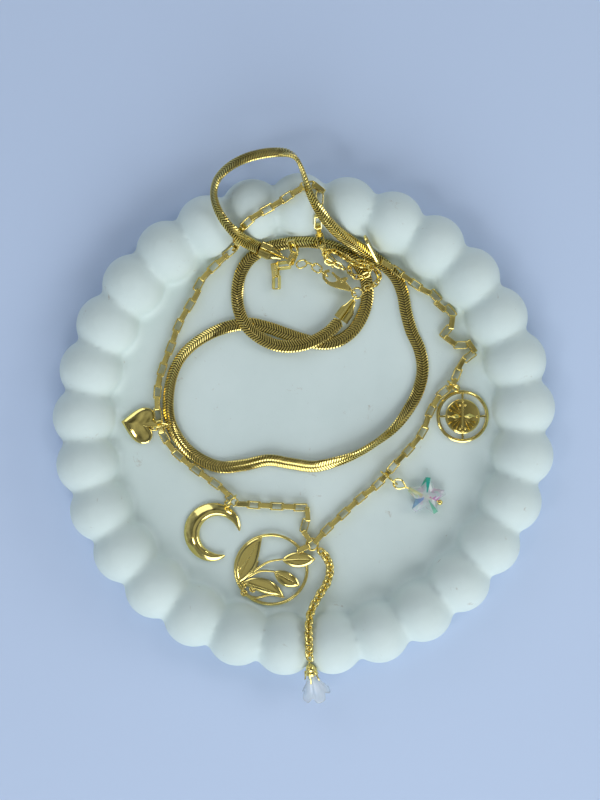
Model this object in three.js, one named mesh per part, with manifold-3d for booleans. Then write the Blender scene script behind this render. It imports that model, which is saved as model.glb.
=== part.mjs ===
// A layered charm necklace lying on a bubble-edged jewellery tray.
// Millimetres, +Z up. The origin is the middle of the tray's underside.

import * as THREE from "three";
import { mergeVertices } from "three/addons/utils/BufferGeometryUtils.js";
import Module from "manifold-3d";

const wasm = await Module();
wasm.setup();

// ---------------------------------------------------------------- sizes

const GAP = 0.12; // free space between a piece and what it lies on

const TRAY = {
  floorTop: 6,
  balls: 29,
  ballRadius: 10.6,
  ballCentreZ: 8,
  ringRadius: 74.4,
  firstBall: 4.3, // degrees from +X
  stepsPerBall: 4,
  arcSteps: 5,
};

const BAND = { width: 4, thickness: 1.4, edge: 0.5, steps: 122 };
const BOX_LINK = { length: 4.9, width: 2.5, wall: 0.55, depth: 1.3, pitch: 3.88 };
const DROP_CHAIN = { radius: 1.6, steps: 24 }; // its round links' outer form
const CURB_CHAIN = { radius: 0.85, steps: 30 }; // its twisted links' outer form
const OVAL_LINK = { radius: 1.35, wire: 0.32, stretch: 1.3, pitch: 2.78 };
const CAP = { width: 5, thickness: 2.3, pocket: 1.6, eye: 0.95 };
const CLASP = {
  x: 15.6,
  y: 45.3,
  z: 8.9,
  turn: 146,
  thickness: 1.6,
  lever: 0.7, // the lever's thickness
  play: 0.12,
  pin: 0.3,
  pivot: [4.1, 0.75],
};
const CAP_ROUTES = {
  clasp: [[12.3, 35.3, 8.6], [14.6, 38.5, 8.75], [16.7, 41.9, 8.9]],
  tail: [[-15.0, 59.3, 9.3], [-11.4, 57.9, 8.9], [-7.6, 56.6, 8.2]],
};
const CLASP_RING = { radius: 1.75, middle: [17.9, 44.3, 8.9] };
const HUB = { x: 2.75, y: -40.65 }; // the ring where the chains and the pendant meet
const PENDANT_LINK = { azimuth: 205, reach: 3.3 }; // from the hub
const CHARM_RING = { radius: 2.3, toCentre: 0.42, toBail: 1.95, furthest: 2.14 };
const BAIL = { radius: 1.0, wire: 0.32 };
const HEART = { bail: [0, 5.3, 0], turn: -100, thickness: 2.2 };
const MOON = {
  outer: 9.95,
  inner: 6.3,
  shift: [1.55, -0.7], // of the inner edge's middle
  from: 3, // degrees where the horns end
  to: 297,
  thickness: 2.2,
  bail: [4.9, 9.8, 0.1],
};
const MEDALLION = {
  outer: 8.85,
  inner: 7.75,
  disc: 5.9,
  rim: 1.2,
  plateThickness: 0.8,
  relief: 0.5,
  bail: [-2.2, 9.6, 0.6],
  bar: 0.7,
  cross: { length: 8.6, width: 0.6, shift: 0.2, lozenge: [2.2, 0.8], lozengeAt: 2.4 },
  dots: [
    [0, 5.0],
    [-0.9, 3.8],
    [0.9, 3.8],
    [0, 2.7],
    [-0.9, -4.2],
    [0.9, -4.2],
    [0, -5.2],
    [-5.2, 0],
    [5.2, 0],
  ],
  fans: [[135, 17], [225, 17], [315, 17]], // middle angle and degrees from ridge to ridge
};
const PENDANT = {
  width: 25.4,
  height: 24.6,
  wire: 0.55,
  thickness: 0.9,
  middle: [-11.2, -49.3],
  tilt: 1.7, // degrees, where its link lifts it
  tiltAzimuth: 33, // of the low side, from -Y
  leaves: [
    { from: [3.6, 3.4], to: [15.0, 3.6], bulge: [2.0, 1.9] },
    { from: [1.0, -0.6], to: [9.6, -5.4], bulge: [2.0, 1.7] },
    { from: [-9.8, -4.2], to: [4.2, -8.8], bulge: [1.0, 2.7] },
  ],
  stems: [
    [[-9.6, -3.2], [-4.8, 0.2], [-1.0, 2.6], [4.0, 3.6]],
    [[-8.0, -2.6], [-3.6, -0.5], [1.2, -0.6]],
    [[-6.4, -1.6], [-5.2, 1.0], [-4.4, 3.0]],
    [[-9.2, -8.4], [-5.4, -9.6], [0.0, -8.6], [4.6, -9.4]],
  ],
  scrolls: [[-9.3, -5.2], [-6.3, -6.6], [-9.2, -7.9]],
};
const STAR = {
  ring: [3.5, 2.6], // half length and half height of its oval ring
  toRing: 1.3,
  toLoop: 3.5,
  angle: 84.5,
  outer: 6.5,
  inner: 3.8,
  thickness: 4,
  drill: 0.6,
  pin: 0.36,
  pinAngle: -24.2,
  ballAt: 5.1,
  loopAt: 9.2,
};
const FLOWER = {
  middle: [1.85, -79.9, 15.9],
  droop: 35, // degrees below level
  turn: 11, // degrees about the vertical
  cap: 3.4,
  length: 10,
  mouth: 5.4,
  neck: 1.2,
  wall: 0.9,
  petals: 5,
  notch: 0.28,
};
const TAG = {
  length: 11.2,
  width: 5,
  thickness: 0.8,
  hole: 0.7,
  middle: [22.5, 58.2, 14.2],
  turn: 120.5, // degrees about the vertical
  rise: 25,
  lean: 14,
};
const RING = { radius: 2.0, wire: 0.35, sides: 12, wireSides: 5 };

// ---------------------------------------------------------------- routes

// The herringbone band: x, y, height of its lowest edge, and roll in degrees.
// A positive roll lifts its left edge. The route starts at the clasp's cap.
const BAND_ROUTE = [
  [12.0, 34.9, 7.8, 0],
  [8.2, 31.1, 7.7, 0],
  [3.4, 28.2, 7.7, 0],
  [-3.0, 26.4, 7.7, 0],
  [-9.6, 26.8, 7.7, 0],
  [-15.4, 29.5, 7.7, 0],
  [-19.6, 33.4, 7.7, 0],
  [-22.0, 38.4, 7.2, 0],
  [-22.7, 44.4, 6.12, 0],
  [-21.6, 50.8, 6.12, 0],
  [-18.6, 55.8, 6.12, 0],
  [-13.4, 59.3, 6.12, 0],
  [-6.4, 61.2, 6.12, -12],
  [0.6, 61.7, 6.12, -22],
  [7.4, 60.8, 6.12, -22],
  [13.2, 58.4, 6.12, -12],
  [18.2, 54.4, 6.12, 0],
  [21.0, 48.8, 6.12, 0],
  [21.4, 42.6, 6.12, 0],
  [19.6, 36.4, 6.12, 0],
  [16.0, 31.2, 6.12, 0],
  [11.0, 28.0, 6.12, 0],
  [5.4, 27.4, 6.12, 0],
  [-0.2, 28.7, 6.12, 0],
  [-6.0, 30.6, 6.12, 0],
  [-12.0, 32.7, 6.12, 0],
  [-18.0, 34.0, 6.12, 0],
  [-25.0, 33.2, 6.12, 5],
  [-31.4, 30.8, 6.12, 22],
  [-37.4, 27.0, 6.12, 30],
  [-41.8, 22.4, 6.12, 30],
  [-44.6, 16.4, 6.12, 28],
  [-45.9, 9.4, 6.12, 26],
  [-45.7, 2.2, 6.12, 20],
  [-43.6, -3.4, 6.12, 12],
  [-39.6, -8.6, 6.12, 6],
  [-34.4, -12.4, 6.12, 0],
  [-28.4, -14.5, 6.12, 0],
  [-20.6, -13.9, 6.12, 8],
  [-12.0, -12.2, 6.12, 18],
  [-4.6, -13.3, 6.12, 20],
  [3.2, -14.3, 6.12, 20],
  [10.4, -12.8, 6.12, 36],
  [17.6, -10.2, 6.12, 58],
  [24.4, -6.2, 6.12, 64],
  [30.4, -1.4, 6.12, 45],
  [35.2, 4.8, 6.12, 20],
  [38.6, 11.2, 6.12, 5],
  [40.2, 18.4, 6.12, 0],
  [39.2, 25.2, 6.12, 0],
  [36.4, 31.6, 6.12, 0],
  [34.6, 38.0, 6.12, 0],
  [33.4, 44.4, 6.12, 0],
  [31.2, 49.6, 6.12, 0],
  [27.6, 53.6, 6.12, 0],
  [22.4, 57.1, 6.8, -8],
  [17.0, 60.3, 9.4, -20],
  [12.0, 63.3, 13.6, -35],
  [8.4, 66.2, 17.0, -42],
  [5.6, 69.3, 19.3, -50],
  [3.4, 72.5, 20.6, -60],
  [1.6, 75.9, 21.4, -70],
  [0.3, 79.8, 21.6, -80],
  [-1.0, 83.6, 20.8, -85],
  [-2.6, 87.0, 19.8, -105],
  [-6.0, 89.2, 18.4, -140],
  [-12.2, 89.4, 17.6, -148],
  [-19.0, 87.8, 17.4, -146],
  [-24.8, 84.6, 17.8, -138],
  [-28.6, 80.2, 18.6, -125],
  [-29.6, 75.8, 19.0, -118],
  [-29.0, 72.4, 18.8, -120],
  [-27.6, 69.2, 18.3, -125],
  [-25.6, 66.2, 18.2, -130],
  [-23.4, 63.8, 17.5, -140],
  [-21.2, 61.9, 15.2, -148],
  [-18.6, 60.6, 11.8, -162],
  [-15.4, 59.5, 8.5, -176],
];

// The box chain: x, y, and extra height above resting on the tray.
const BOX_LEFT_ROUTE = [
  [2.0, -39.6, 0],
  [0.0, -36.1, 0],
  [0.4, -33.6, 0],
  [1.2, -30.6, 0],
  [0.3, -28.5, 0],
  [-2.7, -28.1, 0],
  [-12.2, -27.6, 0],
  [-19.2, -27.1, 0.3],
  [-22.9, -26.5, 1.15],
  [-27.6, -22.0, 0.3],
  [-33.6, -17.6, 0],
  [-39.4, -13.2, 0],
  [-45.0, -7.9, 0],
  [-47.9, -2.9, 0.3],
  [-48.9, 0.9, 1.4],
  [-49.7, 7.0, 0.3],
  [-49.2, 14.4, 0],
  [-47.4, 20.6, 0],
  [-45.0, 26.6, 0],
  [-42.6, 33.4, 0],
  [-38.8, 40.2, 0],
  [-36.4, 44.0, 0],
  [-35.8, 47.0, 0],
  [-31.2, 52.6, 0.5],
  [-26.8, 56.4, 1.0],
  [-22.9, 60.0, 0],
  [-21.8, 63.4, 0],
  [-17.2, 67.8, 0],
  [-12.2, 70.9, 0],
  [-7.4, 73.8, 0.2],
  [-2.8, 76.6, 0],
  [1.0, 78.7, 0],
  [4.8, 78.2, 0],
  [5.0, 74.6, 0],
  [4.8, 70.6, 0],
  [4.6, 67.0, 0],
  [5.2, 63.4, 3.4],
  [6.2, 59.6, 3.4],
  [8.2, 56.2, 1.6],
  [10.3, 54.0, 0.8],
];
const BOX_RIGHT_ROUTE = [
  [3.8, -39.9, 0],
  [7.4, -35.9, 0],
  [12.8, -30.8, 0],
  [18.8, -25.2, 0],
  [25.2, -20.0, 0.4],
  [28.6, -16.0, 1.4],
  [31.6, -12.6, 0.2],
  [35.6, -8.4, 0],
  [40.2, -2.4, 0],
  [42.8, 4.4, 0],
  [46.0, 9.9, 0.3],
  [49.9, 13.3, 1.15],
  [51.6, 16.8, 0.2],
  [53.6, 21.2, 0],
  [57.0, 24.2, 0],
  [56.2, 26.8, 0],
  [51.8, 27.0, 0],
  [47.6, 30.4, 0],
  [49.8, 33.4, 0],
  [49.7, 38.0, 0],
  [46.0, 40.0, 0],
  [44.4, 43.4, 0],
  [40.6, 45.4, 0],
  [35.4, 48.8, 1.0],
  [30.8, 52.0, 1.8],
  [26.4, 54.6, 1.9],
];
const DROP_ROUTE = [
  [5.2, -42.6, 0],
  [7.2, -44.6, 0],
  [8.7, -48.4, 0],
  [8.0, -53.0, 0],
  [5.0, -58.0, 0.6],
  [2.4, -62.6, 2.8],
  [1.5, -67.2, 0.4],
  [1.5, -71.0, 0],
  [1.6, -74.4, 0],
  [1.8, -77.6, 0],
];

// Box links folded beside the tail cap, the oval links to the clasp, and the piled curb chain.
const TAIL_ROUTE = [
  [-4.4, 61.6, 3.4],
  [-3.4, 58.0, 2.0],
  [-5.4, 54.2, 0.8],
  [-9.6, 53.2, 0.5],
  [-9.4, 49.6, 0.4],
  [-9.4, 46.0, 0.4],
];
const OVAL_ROUTE = [
  [-2.2, 53.7, 0.8],
  [0.9, 54.6, 0.8],
  [4.1, 52.9, 1.2],
  [7.7, 50.1, 1.45],
];
const CURB_ROUTE = [
  [20.6, 46.0, 1.9],
  [23.6, 47.0, 1.4],
  [25.4, 49.8, 0.6],
  [24.0, 52.4, 1.2],
  [20.6, 54.6, 2.4],
  [16.8, 54.6, 2.4],
  [15.2, 52.0, 1.8],
  [17.6, 49.8, 1.8],
  [21.2, 50.6, 2.4],
  [22.0, 53.0, 4.3],
  [18.8, 53.4, 4.6],
  [15.4, 55.0, 4.6],
  [12.6, 56.8, 4.2],
  [9.6, 58.2, 5.2],
  [7.0, 57.2, 5.9],
  [7.8, 54.6, 5.8],
  [10.6, 53.8, 5.0],
  [13.4, 52.4, 4.0],
];

// ---------------------------------------------------------------- shared helpers

const UP = new THREE.Vector3(0, 0, 1);
const radians = THREE.MathUtils.degToRad;

function ballCentre(index) {
  const angle = radians(TRAY.firstBall + (360 / TRAY.balls) * index);
  return [TRAY.ringRadius * Math.cos(angle), TRAY.ringRadius * Math.sin(angle)];
}

// Height of the middle of a round thing of this radius that rests on the tray at x, y.
function restingHeight(x, y, radius) {
  let height = TRAY.floorTop + radius;
  for (let index = 0; index < TRAY.balls; index += 1) {
    const [cx, cy] = ballCentre(index);
    const reach = (TRAY.ballRadius + radius) ** 2 - (x - cx) ** 2 - (y - cy) ** 2;
    if (reach > 0) height = Math.max(height, TRAY.ballCentreZ + Math.sqrt(reach));
  }
  return height;
}

// A smooth path whose frames stay level except for a roll given at each waypoint.
class Route extends THREE.CatmullRomCurve3 {
  constructor(points, rolls = points.map(() => 0)) {
    super(points, false, "centripetal");
    this.rolls = rolls;
    this.arcLengthDivisions = points.length * 12;
  }

  frameAt(u, extraRoll = 0) {
    const place = this.getUtoTmapping(u) * (this.rolls.length - 1);
    const before = Math.min(Math.floor(place), this.rolls.length - 2);
    const roll = THREE.MathUtils.lerp(this.rolls[before], this.rolls[before + 1], place - before);
    const tangent = this.getTangentAt(u);
    const left = new THREE.Vector3().crossVectors(UP, tangent).normalize();
    left.applyAxisAngle(tangent, radians(roll + extraRoll));
    const over = new THREE.Vector3().crossVectors(tangent, left);
    return { point: this.getPointAt(u), tangent, left, over };
  }

  computeFrenetFrames(segments) {
    const frames = { tangents: [], normals: [], binormals: [] };
    for (let step = 0; step <= segments; step += 1) {
      const frame = this.frameAt(step / segments);
      frames.tangents.push(frame.tangent);
      frames.normals.push(frame.left);
      frames.binormals.push(frame.over);
    }
    return frames;
  }
}

function restingRoute(rows, radius) {
  const points = rows.map(([x, y, raise]) => {
    return new THREE.Vector3(x, y, restingHeight(x, y, radius + GAP) + raise);
  });
  const fine = new THREE.CatmullRomCurve3(points, false, "centripetal").getSpacedPoints(rows.length * 4);
  for (const point of fine) {
    point.z = Math.max(point.z, restingHeight(point.x, point.y, radius + GAP));
  }
  return new Route(fine);
}

function toSolid(geometry) {
  const bare = geometry.clone();
  for (const name of Object.keys(bare.attributes)) {
    if (name !== "position") bare.deleteAttribute(name);
  }
  const merged = mergeVertices(bare, 1e-4);
  const corners = merged.index.array;
  const kept = [];
  for (let at = 0; at < corners.length; at += 3) {
    const [a, b, c] = [corners[at], corners[at + 1], corners[at + 2]];
    if (a !== b && b !== c && c !== a) kept.push(a, b, c);
  }
  const vertProperties = new Float32Array(merged.attributes.position.array);
  return new wasm.Manifold(new wasm.Mesh({ numProp: 3, vertProperties, triVerts: new Uint32Array(kept) }));
}

function toGeometry(solid) {
  const mesh = solid.getMesh();
  const geometry = new THREE.BufferGeometry();
  geometry.setAttribute("position", new THREE.BufferAttribute(mesh.vertProperties, 3));
  geometry.setIndex(new THREE.BufferAttribute(mesh.triVerts, 1));
  geometry.computeVertexNormals();
  return geometry;
}

function fuse(geometries) {
  let solids = geometries.map(toSolid);
  while (solids.length > 1) {
    const joined = [];
    for (let at = 0; at < solids.length; at += 2) {
      joined.push(at + 1 < solids.length ? solids[at].add(solids[at + 1]) : solids[at]);
    }
    solids = joined;
  }
  // A bubble shut in between touching links would be a body of negative volume.
  const bodies = solids[0].decompose().filter((body) => body.volume() > 0);
  return toGeometry(bodies.reduce((all, body) => all.add(body)));
}

function cut(geometry, tool) {
  return toGeometry(toSolid(geometry).subtract(toSolid(tool)));
}

// Puts a geometry drawn along X, with its width on Y and its height on Z, into a frame.
function setInFrame(geometry, frame) {
  const basis = new THREE.Matrix4().makeBasis(frame.tangent, frame.left, frame.over);
  return geometry.applyMatrix4(basis.setPosition(frame.point));
}

function rectangle(length, width) {
  const [x, y] = [length / 2, width / 2];
  const corners = [[-x, -y], [x, -y], [x, y], [-x, y]];
  return corners.map(([cx, cy]) => new THREE.Vector2(cx, cy));
}

// A plate of this outline, centred in its thickness.
function plate(shape, thickness, curveSegments = 8) {
  const geometry = new THREE.ExtrudeGeometry(shape, { depth: thickness, bevelEnabled: false, curveSegments });
  return geometry.translate(0, 0, -thickness / 2);
}

// A rod whose rings follow a path: halfSizes(t) gives half its width and half its height.
function rod(route, sides, steps, halfSizes) {
  const geometry = new THREE.CylinderGeometry(1, 1, 1, sides, steps);
  geometry.rotateY(Math.PI / sides);
  const position = geometry.attributes.position;
  for (let index = 0; index < position.count; index += 1) {
    const u = THREE.MathUtils.clamp(0.5 + position.getY(index), 0, 1);
    const frame = route.frameAt(u);
    const [wide, high] = halfSizes(u);
    const point = frame.point;
    point.addScaledVector(frame.left, position.getZ(index) * wide);
    point.addScaledVector(frame.over, position.getX(index) * high);
    position.setXYZ(index, point.x, point.y, point.z);
  }
  return geometry;
}

function routeThrough(rows, z) {
  return new Route(rows.map(([x, y, height = z]) => new THREE.Vector3(x, y, height)));
}

// A puffed form: the outline is repeated at each [scale, height] layer, from top to bottom.
function puffed(outline, layers) {
  const profile = layers.map(([scale, height]) => new THREE.Vector2(scale, height));
  const geometry = new THREE.LatheGeometry(profile, outline.length);
  const position = geometry.attributes.position;
  for (let index = 0; index < position.count; index += 1) {
    const corner = outline[Math.floor(index / layers.length) % outline.length];
    const [scale, height] = layers[index % layers.length];
    position.setXYZ(index, corner.x * scale, corner.y * scale, height);
  }
  return geometry;
}

function ring(centre, axis, radius, wire, sides = RING.sides) {
  const geometry = new THREE.TorusGeometry(radius, wire, RING.wireSides, sides);
  const turn = new THREE.Quaternion().setFromUnitVectors(UP, axis.clone().normalize());
  return geometry.applyQuaternion(turn).translate(centre.x, centre.y, centre.z);
}

// A ring that stands upright on the tray's floor, its plane along a level direction.
function standingRing(middle, along, halfLength, halfHeight) {
  const geometry = new THREE.TorusGeometry(1, RING.wire / halfHeight, RING.wireSides, RING.sides);
  geometry.scale(halfLength, halfHeight, halfHeight);
  const frame = { tangent: along, left: UP, over: new THREE.Vector3().crossVectors(along, UP) };
  frame.point = middle.clone().setZ(TRAY.floorTop + GAP + halfHeight + RING.wire);
  return setInFrame(geometry, frame);
}

// ---------------------------------------------------------------- the tray

// Half of the tray's section at an angle away from the nearest ball's middle, foot to floor.
function traySection(offset) {
  const middle = TRAY.ringRadius * Math.cos(offset);
  const radius = Math.sqrt(TRAY.ballRadius ** 2 - (TRAY.ringRadius * Math.sin(offset)) ** 2);
  const lowest = -Math.asin(Math.min(TRAY.ballCentreZ / radius, 0.8));
  const innermost = Math.PI + Math.asin((TRAY.ballCentreZ - TRAY.floorTop) / radius);
  const section = [[0, 0], [middle + radius * Math.cos(lowest), 0]];
  for (let step = 0; step <= TRAY.arcSteps; step += 1) {
    const turn = THREE.MathUtils.lerp(lowest, innermost, step / TRAY.arcSteps);
    section.push([middle + radius * Math.cos(turn), TRAY.ballCentreZ + radius * Math.sin(turn)]);
  }
  section.push([0, TRAY.floorTop]);
  return section;
}

function trayGeometry() {
  const steps = TRAY.balls * TRAY.stepsPerBall;
  const rows = traySection(0).length;
  const profile = traySection(0).map(([r, z]) => new THREE.Vector2(r, z));
  const geometry = new THREE.LatheGeometry(profile, steps);
  const position = geometry.attributes.position;
  const sector = radians(360 / TRAY.balls);
  for (let index = 0; index < position.count; index += 1) {
    const step = Math.floor(index / rows) % steps;
    const offset = ((step % TRAY.stepsPerBall) / TRAY.stepsPerBall - 0.5) * sector;
    const angle = radians(TRAY.firstBall) + (step / TRAY.stepsPerBall - 0.5) * sector;
    const [r, z] = traySection(offset)[index % rows];
    position.setXYZ(index, r * Math.cos(angle), r * Math.sin(angle), z);
  }
  return geometry;
}

// ---------------------------------------------------------------- strands

function bandRoute() {
  const points = [];
  for (const [x, y, low, roll] of BAND_ROUTE) {
    const turn = radians(roll);
    const upright = Math.abs(Math.sin(turn)) * BAND.width;
    const level = Math.abs(Math.cos(turn)) * BAND.thickness;
    points.push(new THREE.Vector3(x, y, low + (upright + level) / 2));
  }
  return new Route(points, BAND_ROUTE.map((row) => row[3]));
}

function bandGeometry(route) {
  const [x, y] = [BAND.width / 2, BAND.thickness / 2];
  const flat = x - BAND.edge;
  const section = [[x, 0], [flat, y], [-flat, y], [-x, 0], [-flat, -y], [flat, -y]];
  const shape = new THREE.Shape(section.map(([sx, sy]) => new THREE.Vector2(sx, sy)));
  return new THREE.ExtrudeGeometry(shape, { steps: BAND.steps, extrudePath: route });
}

function boxLink() {
  const shape = new THREE.Shape(rectangle(BOX_LINK.length, BOX_LINK.width));
  const [holeLength, holeWidth] = [BOX_LINK.length - 2 * BOX_LINK.wall, BOX_LINK.width - 2 * BOX_LINK.wall];
  shape.holes.push(new THREE.Path(rectangle(holeLength, holeWidth)));
  return plate(shape, BOX_LINK.depth);
}

function ovalLink() {
  return new THREE.TorusGeometry(OVAL_LINK.radius, OVAL_LINK.wire, 5, 10).scale(OVAL_LINK.stretch, 1, 1);
}

// Frames of a chain's links: every second link is turned a quarter about the chain.
function linkFrames(route, pitch, firstRoll = 0) {
  const count = Math.floor(route.getLength() / pitch);
  return Array.from({ length: count }, (_, index) => {
    return route.frameAt((index + 0.5) / count, firstRoll + 90 * (index % 2));
  });
}

function chain(frames, link) {
  return fuse(frames.map((frame) => setInFrame(link(), frame)));
}

function nearestLink(frames, x, y) {
  const distance = (frame) => Math.hypot(frame.point.x - x, frame.point.y - y);
  return frames.reduce((best, frame) => (distance(frame) < distance(best) ? frame : best));
}

function tube(route, radius, steps) {
  const section = Array.from({ length: 8 }, (_, index) => {
    const angle = (index + 0.5) * (Math.PI / 4);
    return new THREE.Vector2(radius * Math.cos(angle), radius * Math.sin(angle));
  });
  return new THREE.ExtrudeGeometry(new THREE.Shape(section), { steps, extrudePath: route });
}

// ---------------------------------------------------------------- caps and clasp

// A folded end cap: a flat octagon at its mouth that narrows to a tongue with an eye.
function capGeometry(route) {
  const body = rod(route, 8, 4, (u) => {
    const size = u < 0.45 ? 1 : 1 - 0.62 * ((u - 0.45) / 0.55);
    return [CAP.width * 0.54 * size, CAP.thickness * 0.54 * (0.55 + 0.45 * size)];
  });
  const mouth = route.frameAt(0);
  const pocket = new THREE.BoxGeometry(2 * CAP.pocket, BAND.width + 2 * GAP, BAND.thickness + 2 * GAP);
  const end = route.frameAt(1);
  const eyeCentre = end.point.clone().addScaledVector(end.tangent, CAP.eye * 0.9);
  const eye = ring(eyeCentre, end.left, CAP.eye, RING.wire, 10);
  return fuse([cut(body, setInFrame(pocket, mouth)), eye]);
}

// The clasp lies along X with its eye behind the origin and its hook's mouth towards +Y.
function claspOutline() {
  const shape = new THREE.Shape();
  shape.moveTo(0.0, 0.0);
  shape.lineTo(0.0, -0.6);
  shape.lineTo(1.6, -1.1);
  shape.bezierCurveTo(3.8, -2.2, 5.8, -2.7, 7.8, -2.7);
  shape.bezierCurveTo(11.2, -2.7, 11.9, 0.6, 9.9, 1.8);
  shape.lineTo(9.0, 1.05);
  shape.bezierCurveTo(10.3, 0.6, 10.5, -1.6, 7.8, -1.6);
  shape.bezierCurveTo(6.7, -1.6, 6.0, -0.9, 5.6, -0.3);
  shape.lineTo(4.8, 1.7);
  shape.bezierCurveTo(3.4, 1.8, 2.0, 1.2, 1.6, 1.1);
  shape.lineTo(0.0, 0.6);
  return shape;
}

// The lever turns on the pivot; it closes the mouth and ends in a thumb tab.
function leverOutline() {
  const shape = new THREE.Shape();
  shape.moveTo(3.0, 0.1);
  shape.lineTo(5.0, 0.1);
  shape.lineTo(8.5, 1.2);
  shape.lineTo(8.4, 1.85);
  shape.lineTo(5.0, 1.35);
  shape.lineTo(3.7, 2.8);
  shape.lineTo(2.9, 2.7);
  return shape;
}

function claspSlot() {
  const slot = new THREE.BoxGeometry(4.8, 5.4, CLASP.lever + 2 * CLASP.play);
  return slot.translate(4.7, 2.3, 0);
}

function claspBody() {
  const body = cut(plate(claspOutline(), CLASP.thickness, 4), claspSlot());
  const pin = new THREE.CylinderGeometry(CLASP.pin, CLASP.pin, CLASP.thickness, 8);
  pin.rotateX(Math.PI / 2).translate(...CLASP.pivot, 0);
  const eye = ring(new THREE.Vector3(-CAP.eye, 0, 0), new THREE.Vector3(0, 1, 0), CAP.eye, RING.wire, 10);
  return fuse([body, pin, eye]);
}

function claspLever() {
  const bore = new THREE.CylinderGeometry(CLASP.pin + CLASP.play, CLASP.pin + CLASP.play, 4, 10);
  bore.rotateX(Math.PI / 2).translate(...CLASP.pivot, 0);
  return cut(plate(leverOutline(), CLASP.lever), bore);
}

// ---------------------------------------------------------------- charms

function bailRing([x, y, z]) {
  return ring(new THREE.Vector3(x, y, z), UP, BAIL.radius, BAIL.wire, 10);
}

function heartCharm() {
  const shape = new THREE.Shape();
  shape.moveTo(0, 3.2);
  shape.bezierCurveTo(-0.8, 5.8, -6.2, 6.0, -6.2, 1.8);
  shape.bezierCurveTo(-6.2, -1.6, -2.4, -3.8, 0, -6.2);
  shape.bezierCurveTo(2.4, -3.8, 6.2, -1.6, 6.2, 1.8);
  shape.bezierCurveTo(6.2, 6.0, 0.8, 5.8, 0, 3.2);
  const outline = shape.getPoints(5).slice(0, -1);
  const half = HEART.thickness / 2;
  const upper = [[1, half * 0.27], [0.75, half * 0.83], [0, half]];
  const lower = upper.map(([scale, height]) => [scale, -height]).reverse();
  const body = puffed(outline, [...lower, ...upper]);
  return fuse([body, bailRing(HEART.bail)]);
}

// Distance from the moon's middle to its inner edge in the direction of an angle.
function moonInner(angle) {
  const [x, y] = MOON.shift;
  const along = x * Math.cos(angle) + y * Math.sin(angle);
  const across = x * Math.sin(angle) - y * Math.cos(angle);
  return along + Math.sqrt(MOON.inner ** 2 - across ** 2);
}

function moonCharm() {
  const angleAt = (u) => radians(THREE.MathUtils.lerp(MOON.from, MOON.to, u));
  const points = Array.from({ length: 21 }, (_, index) => {
    const angle = angleAt(index / 20);
    const middle = (MOON.outer + moonInner(angle)) / 2;
    return new THREE.Vector3(middle * Math.cos(angle), middle * Math.sin(angle), 0);
  });
  const body = rod(new Route(points), 8, 16, (u) => {
    const end = Math.min(1, 0.35 + 8 * Math.min(u, 1 - u));
    const wide = (MOON.outer - moonInner(angleAt(u))) / 2;
    return [wide * end, MOON.thickness / 2 * Math.min(1, 0.45 + 2.2 * Math.min(u, 1 - u))];
  });
  return fuse([body, bailRing(MOON.bail)]);
}

function circleShape(radius, hole = 0) {
  const shape = new THREE.Shape();
  shape.absarc(0, 0, radius, 0, 2 * Math.PI, false);
  if (hole > 0) {
    const inside = new THREE.Path();
    inside.absarc(0, 0, hole, 0, 2 * Math.PI, true);
    shape.holes.push(inside);
  }
  return shape;
}

function medallionCharm() {
  const { outer, inner, disc, rim, plateThickness, relief, bar, cross } = MEDALLION;
  const pieces = [plate(circleShape(outer, inner), rim, 10), plate(circleShape(disc), plateThickness, 10)];
  for (const turn of [0, 90, 180, 270]) {
    const spoke = new THREE.BoxGeometry(inner - disc + bar, bar, plateThickness);
    pieces.push(spoke.translate((inner + disc) / 2, 0, 0).rotateZ(radians(turn)));
  }
  const top = plateThickness / 2 + relief / 2 - 0.05;
  pieces.push(new THREE.BoxGeometry(cross.width, cross.length, relief).translate(0, cross.shift, top));
  for (const side of [-1, 1]) {
    const lozenge = new THREE.CylinderGeometry(1, 1, relief, 4).rotateX(Math.PI / 2);
    pieces.push(lozenge.scale(...cross.lozenge, 1).translate(side * cross.lozengeAt, 0, top));
  }
  for (const [x, y] of MEDALLION.dots) {
    const dot = new THREE.CylinderGeometry(0.3, 0.5, relief + 0.1, 5).rotateX(Math.PI / 2);
    pieces.push(dot.translate(x, y, top));
  }
  for (const [middle, spread] of MEDALLION.fans) {
    for (const step of [-1, 0, 1]) {
      const ridge = new THREE.CylinderGeometry(0.1, 0.5, 3.6, 4, 1).scale(1, 1, 0.7);
      ridge.rotateZ(Math.PI / 2).translate(3.2, 0, top - 0.1);
      pieces.push(ridge.rotateZ(radians(middle + step * spread)));
    }
  }
  pieces.push(bailRing(MEDALLION.bail));
  return fuse(pieces);
}

// A leaf of the pendant: a flat blade between two arcs from its stem to its tip.
function leafBlade({ from, to, bulge }, thickness) {
  const [start, end] = [new THREE.Vector2(...from), new THREE.Vector2(...to)];
  const across = new THREE.Vector2(start.y - end.y, end.x - start.x).normalize();
  const side = (amount) => start.clone().lerp(end, 0.5).addScaledVector(across, amount);
  const shape = new THREE.Shape();
  shape.moveTo(start.x, start.y);
  shape.quadraticCurveTo(side(-2 * bulge[0]).x, side(-2 * bulge[0]).y, end.x, end.y);
  shape.quadraticCurveTo(side(2 * bulge[1]).x, side(2 * bulge[1]).y, start.x, start.y);
  return plate(shape, thickness, 5);
}

function wireThrough(rows, radius, z) {
  return rod(routeThrough(rows, z), 5, 5, () => [radius, radius]);
}

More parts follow.
